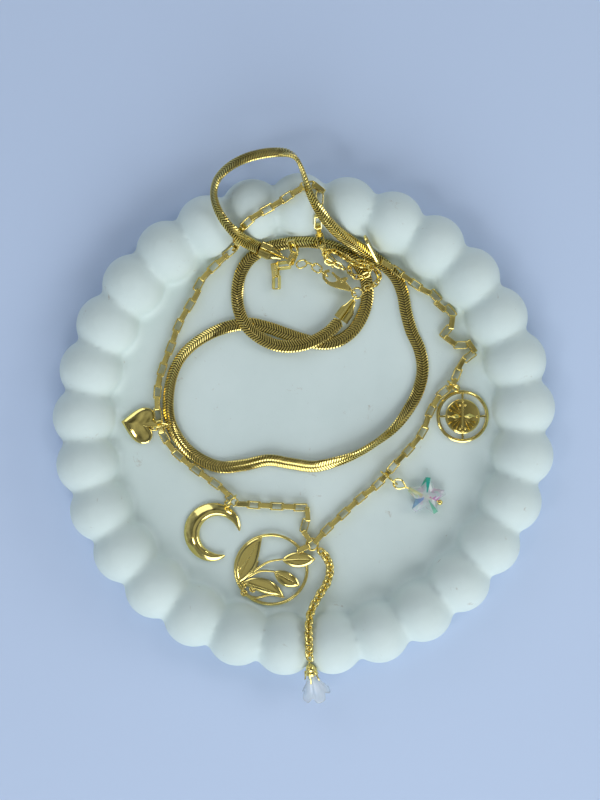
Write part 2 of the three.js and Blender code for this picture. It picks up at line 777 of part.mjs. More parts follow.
function leafPendant() {
  const { width, height, wire, thickness } = PENDANT;
  const hoop = new THREE.TorusGeometry(width / 2 - wire, wire, 5, 24).scale(1, height / width, 1);
  const pieces = [hoop];
  const crescent = new THREE.Shape();
  crescent.absellipse(0, 0, width / 2 - wire, height / 2 - wire, radians(104), radians(204), false);
  crescent.quadraticCurveTo(-4.8, -1.4, -3.4, 4.0);
  crescent.quadraticCurveTo(-3.2, 7.6, -2.8, 11.2);
  pieces.push(plate(crescent, thickness, 7));
  for (const leaf of PENDANT.leaves) pieces.push(leafBlade(leaf, thickness));
  for (const stem of PENDANT.stems) pieces.push(wireThrough(stem, 0.5, 0.15));
  for (const [x, y] of PENDANT.scrolls) {
    pieces.push(new THREE.CylinderGeometry(0.7, 1.3, 1.1, 6).rotateX(Math.PI / 2).translate(x, y, 0.3));
  }
  return fuse(pieces);
}

function starCrystal() {
  const outline = [];
  for (let point = 0; point < 5; point += 1) {
    const angle = STAR.angle + 72 * point;
    for (const [turn, radius] of [[-7, STAR.outer], [7, STAR.outer], [36, STAR.inner]]) {
      const at = radians(angle + turn);
      outline.push(new THREE.Vector2(radius * Math.cos(at), radius * Math.sin(at)));
    }
  }
  const half = STAR.thickness / 2;
  const body = puffed(outline, [[0, -half], [0.5, -half], [1, -0.6], [1, 0.6], [0.5, half], [0, half]]);
  const drill = new THREE.CylinderGeometry(STAR.drill, STAR.drill, 20, 8);
  return cut(body, drill.rotateZ(radians(STAR.pinAngle + 90)));
}

// The pin runs through the star, with a ball at one end and a teardrop loop at the other.
function starPin() {
  const shaft = new THREE.CylinderGeometry(STAR.pin, STAR.pin, STAR.ballAt + STAR.loopAt - 1.6, 6);
  shaft.rotateZ(Math.PI / 2).translate((STAR.ballAt - STAR.loopAt + 1.6) / 2, 0, 0);
  const ball = new THREE.SphereGeometry(0.95, 8, 6).translate(STAR.ballAt, 0, 0);
  const loop = new THREE.TorusGeometry(1.7, 0.34, 5, 12).scale(1.35, 1, 1);
  loop.translate(-STAR.loopAt - 0.5, 0, 0);
  return fuse([shaft, ball, loop]).rotateZ(radians(STAR.pinAngle));
}

function flowerCap() {
  const profile = [[0, 0], [0.9, 0], [1.6, 1.1], [2.0, FLOWER.cap], [0, FLOWER.cap]];
  const body = new THREE.LatheGeometry(profile.map(([r, z]) => new THREE.Vector2(r, z)), 10);
  const eye = ring(new THREE.Vector3(0, 0, -0.7), new THREE.Vector3(1, 0, 0), 0.85, 0.3, 10);
  return fuse([body.rotateX(Math.PI / 2), eye]);
}

function tagPlate() {
  const shape = new THREE.Shape();
  const [half, radius] = [TAG.length / 2 - TAG.width / 2, TAG.width / 2];
  shape.absarc(half, 0, radius, -Math.PI / 2, Math.PI / 2, false);
  shape.absarc(-half, 0, radius, Math.PI / 2, 1.5 * Math.PI, false);
  const hole = new THREE.Path();
  hole.absarc(half + radius * 0.4, 0, TAG.hole, 0, 2 * Math.PI, true);
  shape.holes.push(hole);
  return plate(shape, TAG.thickness, 5);
}

function flowerPetals() {
  const count = FLOWER.petals;
  const outline = Array.from({ length: count * 4 }, (_, index) => {
    const angle = (index / (count * 4)) * 2 * Math.PI;
    const radius = 1 - FLOWER.notch * Math.abs(Math.sin((angle * count) / 2)) ** 6;
    return new THREE.Vector2(radius * Math.cos(angle), radius * Math.sin(angle));
  });
  const { length, mouth, neck, wall } = FLOWER;
  const outside = [[neck, 0], [neck + 0.4, length * 0.25], [mouth * 0.7, length * 0.65], [mouth, length]];
  const inside = [[mouth - wall, length], [mouth * 0.7 - wall, length * 0.66], [neck * 0.4, length * 0.32]];
  return puffed(outline, [[0, 0], ...outside, ...inside, [0, length * 0.28]]);
}

// ---------------------------------------------------------------- assembly

const necklace = new THREE.Group();
necklace.name = "layered_charm_necklace_on_tray";

const GOLD = { color: 0xd8b765, roughness: 0.22, metalness: 1 };
const CERAMIC = { color: 0xdfe6e2, roughness: 0.35, metalness: 0 };
const CRYSTAL = { color: 0xe8f2f4, roughness: 0.05, metalness: 0.1 };
const PETAL = { color: 0xf2f4f6, roughness: 0.3, metalness: 0 };

function add(name, geometry, finish) {
  const mesh = new THREE.Mesh(geometry, new THREE.MeshStandardMaterial(finish));
  mesh.name = name;
  necklace.add(mesh);
  return mesh;
}

// Lays a piece flat, with its own middle at x, y and its lowest point just above the floor.
function addFlat(name, geometry, finish, x, y, turn = 0, lift = 0) {
  geometry.computeBoundingBox();
  const mesh = add(name, geometry, finish);
  mesh.position.set(x, y, TRAY.floorTop + GAP + lift - geometry.boundingBox.min.z);
  mesh.rotation.z = radians(turn);
}

// The level direction from a link towards a charm: side is 1 for its left and -1 for its right.
function sideways(link, side) {
  return new THREE.Vector3().crossVectors(UP, link.tangent).setZ(0).normalize().multiplyScalar(side);
}

// A ring stands round the chain's link and through the charm's bail, and the charm lies flat.
function hangCharm(name, geometry, bail, link, side, turn = 0, toBail = CHARM_RING.toBail) {
  const outwards = sideways(link, side);
  const centre = link.point.clone().addScaledVector(outwards, CHARM_RING.toCentre);
  add(`${name}_ring`, standingRing(centre, outwards, CHARM_RING.radius, CHARM_RING.radius), GOLD);
  const bailPoint = link.point.clone().addScaledVector(outwards, toBail);
  const arm = new THREE.Vector3(...bail).applyAxisAngle(UP, radians(turn));
  addFlat(name, geometry, GOLD, bailPoint.x - arm.x, bailPoint.y - arm.y, turn);
}

const chainRadius = BOX_LINK.width / 2;
const leftFrames = linkFrames(restingRoute(BOX_LEFT_ROUTE, chainRadius), BOX_LINK.pitch, 90);
const rightFrames = linkFrames(restingRoute(BOX_RIGHT_ROUTE, chainRadius), BOX_LINK.pitch, 90);
const tailFrames = linkFrames(restingRoute(TAIL_ROUTE, chainRadius), BOX_LINK.pitch, 30);
const ovalFrames = linkFrames(restingRoute(OVAL_ROUTE, OVAL_LINK.radius), OVAL_LINK.pitch);

add("tray", trayGeometry(), CERAMIC);
add("herringbone_band", bandGeometry(bandRoute()), GOLD);
add("box_chain_left", chain(leftFrames, boxLink), GOLD);
add("box_chain_right", chain(rightFrames, boxLink), GOLD);
add("tail_links", chain(tailFrames, boxLink), GOLD);
add("oval_links", chain(ovalFrames, ovalLink), GOLD);
for (const [name, rows, size] of [["drop_chain", DROP_ROUTE, DROP_CHAIN], ["curb_chain", CURB_ROUTE, CURB_CHAIN]]) {
  add(name, tube(restingRoute(rows, size.radius), size.radius, size.steps), GOLD);
}

add("clasp_end_cap", capGeometry(routeThrough(CAP_ROUTES.clasp)), GOLD);
add("tail_end_cap", capGeometry(routeThrough(CAP_ROUTES.tail)), GOLD);
add("clasp_ring", ring(new THREE.Vector3(...CLASP_RING.middle), UP, CLASP_RING.radius, RING.wire), GOLD);

const clasp = new THREE.Group();
clasp.position.set(CLASP.x, CLASP.y, CLASP.z);
clasp.rotation.set(Math.PI, 0, radians(CLASP.turn), "ZYX");
necklace.add(clasp);
for (const [name, geometry] of [["clasp_body", claspBody()], ["clasp_lever", claspLever()]]) {
  clasp.add(add(name, geometry, GOLD));
}

const heartLink = nearestLink(leftFrames, -48.9, 0);
hangCharm("heart_charm", heartCharm(), HEART.bail, heartLink, 1, HEART.turn, CHARM_RING.furthest);
const moonLink = nearestLink(leftFrames, -24.5, -25.2);
hangCharm("moon_charm", moonCharm(), MOON.bail, moonLink, 1, 0, CHARM_RING.furthest);
hangCharm("medallion", medallionCharm(), MEDALLION.bail, nearestLink(rightFrames, 49.9, 13.3), -1);

const starLink = nearestLink(rightFrames, 27.2, -17.7);
const starSide = sideways(starLink, -1);
const starRingCentre = starLink.point.clone().addScaledVector(starSide, STAR.toRing);
add("star_ring", standingRing(starRingCentre, starSide, ...STAR.ring), GOLD);
const starDirection = new THREE.Vector3(1, 0, 0).applyAxisAngle(UP, radians(STAR.pinAngle));
const star = starLink.point.clone().addScaledVector(starSide, STAR.toLoop);
star.addScaledVector(starDirection, STAR.loopAt + 2.8);
addFlat("star_crystal", starCrystal(), CRYSTAL, star.x, star.y);
addFlat("star_pin", starPin(), GOLD, star.x, star.y, 0, STAR.thickness / 2 - 0.95);

const hub = new THREE.Vector3(HUB.x, HUB.y, restingHeight(HUB.x, HUB.y, chainRadius + GAP));
add("centre_ring", ring(hub, UP, RING.radius, RING.wire), GOLD);
const pendantSide = new THREE.Vector3(1, 0, 0).applyAxisAngle(UP, radians(PENDANT_LINK.azimuth));
const pendantLink = { tangent: pendantSide, left: UP };
pendantLink.point = hub.clone().addScaledVector(pendantSide, PENDANT_LINK.reach);
pendantLink.over = new THREE.Vector3().crossVectors(pendantSide, UP);
add("pendant_link", setInFrame(boxLink(), pendantLink), GOLD);
const hinge = new THREE.Vector3(0, -1, 0).applyAxisAngle(UP, radians(PENDANT.tiltAzimuth));
const pendantTilt = new THREE.Quaternion().setFromAxisAngle(hinge, radians(PENDANT.tilt));
addFlat("leaf_pendant", leafPendant().applyQuaternion(pendantTilt), GOLD, ...PENDANT.middle);

const flower = new THREE.Group();
flower.position.set(...FLOWER.middle);
flower.rotation.set(Math.PI / 2 + radians(FLOWER.droop), 0, radians(FLOWER.turn), "ZYX");
necklace.add(flower);
flower.add(add("flower_cap", flowerCap(), GOLD));
flower.add(add("flower_petals", flowerPetals().translate(0, 0, FLOWER.cap + 0.15), PETAL));

const tag = add("tag_plate", tagPlate(), GOLD);
tag.position.set(...TAG.middle);
tag.rotation.set(radians(90 - TAG.lean), radians(-TAG.rise), radians(TAG.turn), "ZYX");

export default necklace;
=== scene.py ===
# %% [markdown]
# # A layered charm necklace on a bubble-edged tray
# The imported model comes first. It holds every solid of the necklace in metres, with +Z up and the
# origin under the middle of the tray. What follows dresses those solids: plain ones get a finish,
# and the ones that stand for fine work are replaced by pieces with links, ribs and relief.

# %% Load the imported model
import math

import bmesh
import bpy
import numpy as np
from mathutils import Matrix, Vector
from mathutils.geometry import interpolate_bezier


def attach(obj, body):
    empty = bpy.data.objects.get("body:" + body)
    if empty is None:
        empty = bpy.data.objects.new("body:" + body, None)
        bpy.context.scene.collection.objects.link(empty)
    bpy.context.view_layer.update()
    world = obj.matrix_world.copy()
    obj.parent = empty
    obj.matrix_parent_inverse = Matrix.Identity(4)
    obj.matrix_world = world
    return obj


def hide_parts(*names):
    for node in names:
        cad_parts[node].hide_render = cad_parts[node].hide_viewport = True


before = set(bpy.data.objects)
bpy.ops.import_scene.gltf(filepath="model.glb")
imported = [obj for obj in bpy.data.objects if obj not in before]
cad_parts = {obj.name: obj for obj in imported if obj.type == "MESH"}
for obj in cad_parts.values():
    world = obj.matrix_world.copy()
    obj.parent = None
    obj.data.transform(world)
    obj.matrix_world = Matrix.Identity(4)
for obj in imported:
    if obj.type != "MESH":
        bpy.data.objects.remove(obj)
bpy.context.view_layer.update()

MM = 0.001
BASE = "necklace_and_tray"

# %% [markdown]
# ## Camera, table and light
# The camera hangs straight over the tray. A wide pale table and a few large soft lamps give the
# cool, even daylight in which polished gold shows broad bright bands and dark edges. The strongest
# lamp stands low on the near side, so each bubble of the rim is lighter towards it.

# %% Camera
CAMERA = {"x": -1.4, "y": 8.2, "height": 406.0, "lens": 52.94}
camera = bpy.data.objects.new("camera", bpy.data.cameras.new("camera"))
bpy.context.collection.objects.link(camera)
camera.location = (CAMERA["x"] * MM, CAMERA["y"] * MM, CAMERA["height"] * MM)
camera.data.lens = CAMERA["lens"]
camera.data.clip_start = 0.01
bpy.context.scene.camera = camera
print("camera", CAMERA["height"], "mm above the table")
# %% Table top
TABLE_HALF = 1500


def finish_object(name, bm):
    """Turns a bmesh drawn in millimetres into an object that sits at the origin."""
    bmesh.ops.scale(bm, vec=(MM, MM, MM), verts=bm.verts)
    mesh = bpy.data.meshes.new(name)
    bm.to_mesh(mesh)
    bm.free()
    obj = bpy.data.objects.new(name, mesh)
    bpy.context.collection.objects.link(obj)
    return obj


table_mesh = bmesh.new()
bmesh.ops.create_grid(table_mesh, x_segments=1, y_segments=1, size=TABLE_HALF)
table_top = finish_object("table_top", table_mesh)
print("table top", [round(v, 2) for v in table_top.dimensions])

# %% [markdown]
# The sky and every finish are small networks of nodes. A few helpers keep them short to write: one
# adds a node with its values, one joins sockets, and the others make a ramp, a mix and a product.

# %% Node helpers
MIX_A, MIX_B, MIX_RESULT = 6, 7, 2  # a Mix node's colour sockets have names that repeat


def add_node(tree, kind, **inputs):
    node = tree.nodes.new(kind)
    for name, value in inputs.items():
        node.inputs[name.replace("_", " ")].default_value = value
    return node


def wire_up(tree, *pairs):
    for (from_node, output), (to_node, socket) in pairs:
        tree.links.new(from_node.outputs[output], to_node.inputs[socket])


def colour_ramp(tree, stops):
    ramp = tree.nodes.new("ShaderNodeValToRGB")
    for element, (position, colour) in zip(ramp.color_ramp.elements, (stops[0], stops[-1])):
        element.position, element.color = position, (*colour, 1)
    for position, colour in stops[1:-1]:
        ramp.color_ramp.elements.new(position).color = (*colour, 1)
    return ramp


def colour_mix(tree, blend="MIX", factor=1.0):
    mix = tree.nodes.new("ShaderNodeMix")
    mix.data_type, mix.blend_type = "RGBA", blend
    mix.inputs["Factor"].default_value = factor
    return mix


def add_math(tree, by=None, operation="MULTIPLY", kind="ShaderNodeMath"):
    """A node that multiplies a value by another, or by a fixed number."""
    node = tree.nodes.new(kind)
    node.operation = operation
    if by is not None:
        node.inputs[1].default_value = by
    return node


print("node helpers ready")

# %% Lamps and sky
LAMPS = [
    # name, place in m, size in m, watts, colour
    ("near_window", (0.10, -0.95, 0.55), 0.8, 8.4, (0.93, 0.97, 1.0)),
    ("far_fill", (-0.5, 0.7, 0.7), 0.6, 1.8, (0.86, 0.91, 1.0)),
    ("right_strip", (0.75, 0.15, 0.45), 0.35, 1.6, (1.0, 0.98, 0.92)),
    ("left_spark", (-0.36, -0.24, 0.62), 0.1, 0.35, (1.0, 0.98, 0.94)),
    ("right_spark", (0.30, 0.34, 0.66), 0.1, 0.25, (1.0, 0.98, 0.94)),
]
SKY_STRENGTH = 0.56
SKY = [  # sine of the elevation, colour
    (0.0, (0.28, 0.31, 0.35)), (0.22, (0.95, 1.03, 1.15)), (0.5, (0.55, 0.62, 0.72)),
    (0.86, (0.17, 0.19, 0.22)), (0.99, (0.56, 0.59, 0.56)),
]

for name, place, size, watts, colour in LAMPS:
    light = bpy.data.lights.new(name, "AREA")
    light.energy, light.size, light.color = watts, size, colour
    lamp = bpy.data.objects.new(name, light)
    bpy.context.collection.objects.link(lamp)
    lamp.location = place
    lamp.rotation_euler = Vector(place).to_track_quat("Z", "Y").to_euler()
world = bpy.data.worlds.new("sky")
bpy.context.scene.world = world
world.use_nodes = True
tree = world.node_tree
sky = tree.nodes["Background"]
sky.inputs["Strength"].default_value = SKY_STRENGTH
direction = add_node(tree, "ShaderNodeTexCoord")
height = add_node(tree, "ShaderNodeSeparateXYZ")
dome = colour_ramp(tree, SKY)
clouds = add_node(tree, "ShaderNodeTexNoise", Scale=4.5, Detail=1.0)
patchy = add_node(tree, "ShaderNodeMapRange", From_Min=0.32, From_Max=0.68, To_Min=0.35, To_Max=1.65)
cloudy = add_math(tree, kind="ShaderNodeVectorMath")
wire_up(
    tree,
    ((direction, "Generated"), (height, "Vector")),
    ((direction, "Generated"), (clouds, "Vector")),
    ((height, "Z"), (dome, "Fac")),
    ((clouds, "Fac"), (patchy, "Value")),
    ((dome, "Color"), (cloudy, 0)),
    ((patchy, "Result"), (cloudy, 1)),
    ((cloudy, "Vector"), (sky, "Color")),
)
bpy.context.scene.view_settings.view_transform = "Standard"
print(len(LAMPS), "lamps")
# %% [markdown]
# ## Finishes
# Plated gold is almost a mirror. What makes it read as a worn, handled thing is slight unevenness:
# soft ripples left by polishing and hair-fine scratches. That unevenness is one node group, used at
# different scales by each gold finish. Each finish also paints shade as a darker, warmer tone into
# its recesses, the grooves between its ribs and its tight corners.

# %% The unevenness group
def new_group(name, inputs, outputs):
    group = bpy.data.node_groups.new(name, "ShaderNodeTree")
    for label, kind, value in inputs:
        socket = group.interface.new_socket(name=label, in_out="INPUT", socket_type=kind)
        if value is not None:
            socket.default_value = value
    for label, kind in outputs:
        group.interface.new_socket(name=label, in_out="OUTPUT", socket_type=kind)
    return group, group.nodes.new("NodeGroupInput"), group.nodes.new("NodeGroupOutput")


uneven, uneven_in, uneven_out = new_group(
    "uneven_surface",
    [
        ("Vector", "NodeSocketVector", None),
        ("Patch Scale", "NodeSocketFloat", 300.0),
        ("Scratch Scale", "NodeSocketFloat", 4000.0),
        ("Low", "NodeSocketFloat", 0.1),
        ("High", "NodeSocketFloat", 0.25),
        ("Relief", "NodeSocketFloat", 0.1),
    ],
    [("Roughness", "NodeSocketFloat"), ("Patches", "NodeSocketFloat"), ("Normal", "NodeSocketVector")],
)
patches = add_node(uneven, "ShaderNodeTexNoise", Detail=3.0, Roughness=0.55)
scratches = add_node(uneven, "ShaderNodeTexNoise", Detail=2.0, Roughness=0.6)
stretch = add_node(uneven, "ShaderNodeMapping", Rotation=(0.2, 0.3, 0.6), Scale=(1.0, 0.12, 1.0))
blend = add_math(uneven)
spread = add_node(uneven, "ShaderNodeMapRange", From_Min=0.12, From_Max=0.42)
bump = add_node(uneven, "ShaderNodeBump", Distance=0.0002)
wire_up(
    uneven,
    ((uneven_in, "Vector"), (patches, "Vector")),
    ((uneven_in, "Patch Scale"), (patches, "Scale")),
    ((uneven_in, "Vector"), (stretch, "Vector")),
    ((stretch, "Vector"), (scratches, "Vector")),
    ((uneven_in, "Scratch Scale"), (scratches, "Scale")),
    ((patches, "Fac"), (blend, 0)),
    ((scratches, "Fac"), (blend, 1)),
    ((blend, "Value"), (spread, "Value")),
    ((uneven_in, "Low"), (spread, "To Min")),
    ((uneven_in, "High"), (spread, "To Max")),
    ((uneven_in, "Relief"), (bump, "Strength")),
    ((patches, "Fac"), (bump, "Height")),
    ((spread, "Result"), (uneven_out, "Roughness")),
    ((patches, "Fac"), (uneven_out, "Patches")),
    ((bump, "Normal"), (uneven_out, "Normal")),
)
print("group", uneven.name, "with", len(uneven.nodes), "nodes")

# %% Gold finishes
GOLD_OPEN = (0.88, 0.72, 0.24)
GOLD_PAINTED_SHADE = (0.19, 0.145, 0.035)  # painted shade between ribs, and round low relief
# Painted shade in tight corners, found by pointiness, for pieces without kept heights.
GOLD_CORNER_SHADE = (0.34, 0.26, 0.05)
CORNER_SHADE_LEVELS = (0.38, 0.5)  # how tight a corner is where its painted shade is darkest, and where it is open gold
HEIGHT = "painted_shade_level"  # the attribute of painted shade: how high a place lies on a ribbed or raised piece


def new_material(name):
    material = bpy.data.materials.new(name)
    material.use_nodes = True
    return material, material.node_tree, material.node_tree.nodes["Principled BSDF"]


def gold(name, low, high, relief, patch_scale, heights=None):
    """Gold with shade painted in: darker where a piece's kept heights are low, or else in its tight corners.
    """
    material, tree, shader = new_material(name)
    shader.inputs["Metallic"].default_value = 1.0
    place = add_node(tree, "ShaderNodeTexCoord")
    surface = tree.nodes.new("ShaderNodeGroup")
    surface.node_tree = uneven
    for socket, value in (("Patch Scale", patch_scale), ("Low", low), ("High", high), ("Relief", relief)):
        surface.inputs[socket].default_value = value
    # Painted shade: a ramp from a dark tone to open gold, by kept height or by how tight a corner is.
    if heights:
        recess, level, deep = add_node(tree, "ShaderNodeAttribute"), "Fac", GOLD_PAINTED_SHADE
        recess.attribute_name = HEIGHT
    else:
        recess, level, deep = add_node(tree, "ShaderNodeNewGeometry"), "Pointiness", GOLD_CORNER_SHADE
    start, end = heights or CORNER_SHADE_LEVELS
    tone = colour_ramp(tree, [(start, deep), (end, GOLD_OPEN)])
    tint = colour_ramp(tree, [(0.3, (0.94, 0.92, 0.88)), (0.7, (1.0, 1.0, 1.0))])
    mix = colour_mix(tree, "MULTIPLY")
    wire_up(
        tree,
        ((place, "Object"), (surface, "Vector")),
        ((recess, level), (tone, "Fac")),
        ((surface, "Patches"), (tint, "Fac")),
        ((tone, "Color"), (mix, MIX_A)),
        ((tint, "Color"), (mix, MIX_B)),
        ((mix, MIX_RESULT), (shader, "Base Color")),
        ((surface, "Roughness"), (shader, "Roughness")),
        ((surface, "Normal"), (shader, "Normal")),
    )
    return material


# name, lowest and highest roughness, relief, scale of the patches, and the heights where the painted shade
# is darkest and where it ends
GOLD_BAND = gold("gold_band_finish", 0.14, 0.28, 0.05, 500, (0.5, 0.92))
GOLD_LINKS = gold("gold_links_finish", 0.1, 0.24, 0.05, 400)
POLISHED = gold("polished_gold_finish", 0.06, 0.16, 0.10, 250)
RELIEF = gold("relief_gold_finish", 0.08, 0.2, 0.10, 300, (0.05, 0.8))
print("gold finishes:", [m.name for m in (GOLD_BAND, GOLD_LINKS, POLISHED, RELIEF)])

# %% [markdown]
# The tray is a cast mineral composite: matt, nearly white with a cool cast, with faint clouds of
# tone, pin-prick pits and a few rubbed brown marks where it has been handled.

# %% Tray finish
RUB_COLOUR, RUB_STRENGTH, GRAIN_STRENGTH = (0.36, 0.30, 0.22, 1), 0.45, 0.35

PLASTER, tree, shader = new_material("tray_plaster_finish")
place = add_node(tree, "ShaderNodeTexCoord")
clouds = add_node(tree, "ShaderNodeTexNoise", Scale=28.0, Detail=5.0, Roughness=0.6)
tone = colour_ramp(tree, [(0.3, (0.61, 0.71, 0.69)), (0.7, (0.68, 0.78, 0.76))])
rubs = add_node(tree, "ShaderNodeTexNoise", Scale=150.0, Detail=6.0, Roughness=0.75, Distortion=0.6)
rub_mask = colour_ramp(tree, [(0.64, (0, 0, 0)), (0.70, (1, 1, 1))])
rub_amount = add_math(tree, RUB_STRENGTH)
stain = colour_mix(tree)
stain.inputs[MIX_B].default_value = RUB_COLOUR
grain = add_node(tree, "ShaderNodeTexNoise", Scale=2500.0, Detail=3.0, Roughness=0.6)
pits = add_node(tree, "ShaderNodeTexVoronoi", Scale=420.0)
pit_depth = add_node(tree, "ShaderNodeMapRange", From_Min=0.03, From_Max=0.12, To_Min=0.0, To_Max=1.0)
relief = add_math(tree, GRAIN_STRENGTH, operation="MULTIPLY_ADD")
bump = add_node(tree, "ShaderNodeBump", Strength=0.25, Distance=0.0002)
wire_up(
    tree,
    *[((place, "Object"), (pattern, "Vector")) for pattern in (clouds, rubs, grain, pits)],
    ((clouds, "Fac"), (tone, "Fac")),
    ((rubs, "Fac"), (rub_mask, "Fac")),
    ((rub_mask, "Color"), (rub_amount, 0)),
    ((rub_amount, "Value"), (stain, "Factor")),
    ((tone, "Color"), (stain, MIX_A)),
    ((stain, MIX_RESULT), (shader, "Base Color")),
    ((pits, "Distance"), (pit_depth, "Value")),
    ((grain, "Fac"), (relief, 0)),
    ((pit_depth, "Result"), (relief, 2)),
    ((relief, "Value"), (bump, "Height")),
    ((bump, "Normal"), (shader, "Normal")),
)
shader.inputs["Roughness"].default_value = 0.72
shader.inputs["Specular IOR Level"].default_value = 0.35
print("tray finish ready")

# %% Table finish
TABLE, tree, shader = new_material("table_finish")
shader.inputs["Base Color"].default_value = (0.53, 0.64, 0.84, 1)
shader.inputs["Roughness"].default_value = 0.8
table_top.data.materials.append(TABLE)
print("table finish ready")
# %% [markdown]
# ## From mesh to piece
# Every piece ends the same way: its modifiers are applied, its shading is set, and it gets a
# material and a body to ride on, and the solid that it stands for is hidden. Round pieces are shaded
# smooth. Pieces made of plates keep their broad faces flat and round only their narrow edges.

# %% Finishing a piece
def apply_modifiers(obj):
    """Replaces an object's mesh by what its modifiers make of it."""
    graph = bpy.context.evaluated_depsgraph_get()
    made = bpy.data.meshes.new_from_object(obj.evaluated_get(graph))
    obj.modifiers.clear()
    obj.data = made


def shade_smooth(obj, angle=None):
    obj.data.shade_smooth()
    if angle is not None:
        obj.data.set_sharp_from_angle(angle=math.radians(angle))


def shade_plates(obj, angle):
    """Smooth shading that keeps broad faces flat and leaves the roundness to their narrow edges."""
    shade_smooth(obj, angle)
    obj.modifiers.new("flat faces", "WEIGHTED_NORMAL").keep_sharp = True
    apply_modifiers(obj)


def dress(obj, material, replaced, body=BASE):
    """Gives a finished piece its material and its body, and hides the solids it stands for."""
    obj.data.materials.clear()
    obj.data.materials.append(material)
    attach(obj, body)
    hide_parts(*replaced)
    print(obj.name, len(obj.data.polygons), "faces")


def add_piece(
    name, bm, replaced, shade=shade_smooth, angle=None, material=POLISHED, body=BASE
):
    """Makes a bmesh a finished piece, of smooth polished gold unless told otherwise."""
    obj = finish_object(name, bm)
    shade(obj, angle)
    dress(obj, material, [replaced], body)


print("pieces ride on", BASE, "unless told otherwise")

# %% [markdown]
# ## The tray
# The real tray is poured into a soft mould: a flat dish with a ring of half-sunk balls whose joints
# are slightly rounded. Balls are set round a ring and cut off just above the table, and a disc makes
# the floor. A voxel remesh joins them into one skin, and a little smoothing rounds the creases.

# %% Tray
TRAY = {"floor": 6.0, "balls": 29, "ball": 10.6, "height": 8.0, "ring": 74.4, "first": 4.3}
UNDERSIDE = 0.02  # where the balls are cut off, just above the table
VOXEL = 0.95


def ball_centres():
    for index in range(TRAY["balls"]):
        angle = math.radians(TRAY["first"] + 360 / TRAY["balls"] * index)
        yield TRAY["ring"] * math.cos(angle), TRAY["ring"] * math.sin(angle)


tray_mesh = bmesh.new()
for x, y in ball_centres():
    bmesh.ops.create_uvsphere(
        tray_mesh, u_segments=32, v_segments=20, radius=TRAY["ball"],
        matrix=Matrix.Translation((x, y, TRAY["height"])),
    )
bmesh.ops.bisect_plane(
    tray_mesh, geom=tray_mesh.verts[:] + tray_mesh.edges[:] + tray_mesh.faces[:],
    plane_co=(0, 0, UNDERSIDE), plane_no=(0, 0, -1), clear_outer=True,
)
bmesh.ops.holes_fill(tray_mesh, edges=tray_mesh.edges[:])
bmesh.ops.create_cone(
    tray_mesh, cap_ends=True, segments=96, radius1=TRAY["ring"], radius2=TRAY["ring"],
    depth=TRAY["floor"], matrix=Matrix.Translation((0, 0, TRAY["floor"] / 2)),
)
tray = finish_object("tray_skin", tray_mesh)
skin = tray.modifiers.new("skin", "REMESH")
skin.mode, skin.voxel_size = "VOXEL", VOXEL * MM
soften = tray.modifiers.new("soften", "SMOOTH")
soften.factor, soften.iterations = 0.5, 6
apply_modifiers(tray)
shade_smooth(tray)
dress(tray, PLASTER, ["tray"])
# %% [markdown]
# ## Paths for the strands
# A strand is drawn along a smooth line through a few rows: where it lies on the tray, and how far
# it is lifted or turned. At any distance along the line a frame tells which way is forward, left
# and up. The same frames place a rib of the band or a link of a chain.

# %% Routes
STEPS_PER_ROW = 12
UP = Vector((0, 0, 1))
GAP = 0.12  # clearance between a strand and what it rests on
BOX_REST = 1.25  # half the thickness of a box chain


def axes_matrix(middle, forward, left):
    over = forward.cross(left)
    return Matrix.Translation(middle) @ Matrix((forward, left, over)).transposed().to_4x4()


class Route:
    """A centripetal Catmull-Rom line in millimetres, read by distance from its start."""

    def __init__(self, points, rolls=None):
        rows = np.array(points, float)
        self.rolls = np.zeros(len(rows)) if rolls is None else np.array(rolls, float)
        rows = np.vstack([2 * rows[0] - rows[1], rows, 2 * rows[-1] - rows[-2]])
        samples, places = [], []
        for at in range(1, len(rows) - 2):
            p0, p1, p2, p3 = rows[at - 1 : at + 3]
            d0, d1, d2 = (np.linalg.norm(b - a) ** 0.5 for a, b in ((p0, p1), (p1, p2), (p2, p3)))
            out = ((p1 - p0) / d0 - (p2 - p0) / (d0 + d1) + (p2 - p1) / d1) * d1
            into = ((p2 - p1) / d1 - (p3 - p1) / (d1 + d2) + (p3 - p2) / d2) * d1
            for t in np.arange(STEPS_PER_ROW) / STEPS_PER_ROW:
                start, end = 2 * t**3 - 3 * t**2 + 1, 3 * t**2 - 2 * t**3
                samples.append(p1 * start + out * (t**3 - 2 * t**2 + t) + p2 * end + into * (t**3 - t**2))
                places.append(at - 1 + t)
        samples.append(rows[-2])
        places.append(len(rows) - 3)
        self.samples, self.places = np.array(samples), np.array(places)
        strides = np.linalg.norm(np.diff(self.samples, axis=0), axis=1)
        self.distances = np.concatenate([[0], np.cumsum(strides)])
        self.tangents = np.gradient(self.samples, self.distances, axis=0)
        self.length = float(self.distances[-1])

    def read(self, columns, distance):
        return [np.interp(distance, self.distances, column) for column in columns.T]

    def point(self, distance):
        return Vector(self.read(self.samples, distance))

    def frame(self, distance, extra_roll=0.0):
        """A matrix whose X is forward, Y is left and Z is up at this distance."""
        forward = Vector(self.read(self.tangents, distance)).normalized()
        place = np.interp(distance, self.distances, self.places)
        roll = np.interp(place, np.arange(len(self.rolls)), self.rolls) + extra_roll
        left = UP.cross(forward).normalized()
        left.rotate(Matrix.Rotation(math.radians(roll), 3, forward))
        return axes_matrix(self.point(distance), forward, left)


def resting_height(x, y, radius):
    """Height of the middle of a round thing of this radius that rests on the tray."""
    height = TRAY["floor"] + radius
    for ball_x, ball_y in ball_centres():
        reach = (TRAY["ball"] + radius) ** 2 - (x - ball_x) ** 2 - (y - ball_y) ** 2
        if reach > 0:
            height = max(height, TRAY["height"] + math.sqrt(reach))
    return height


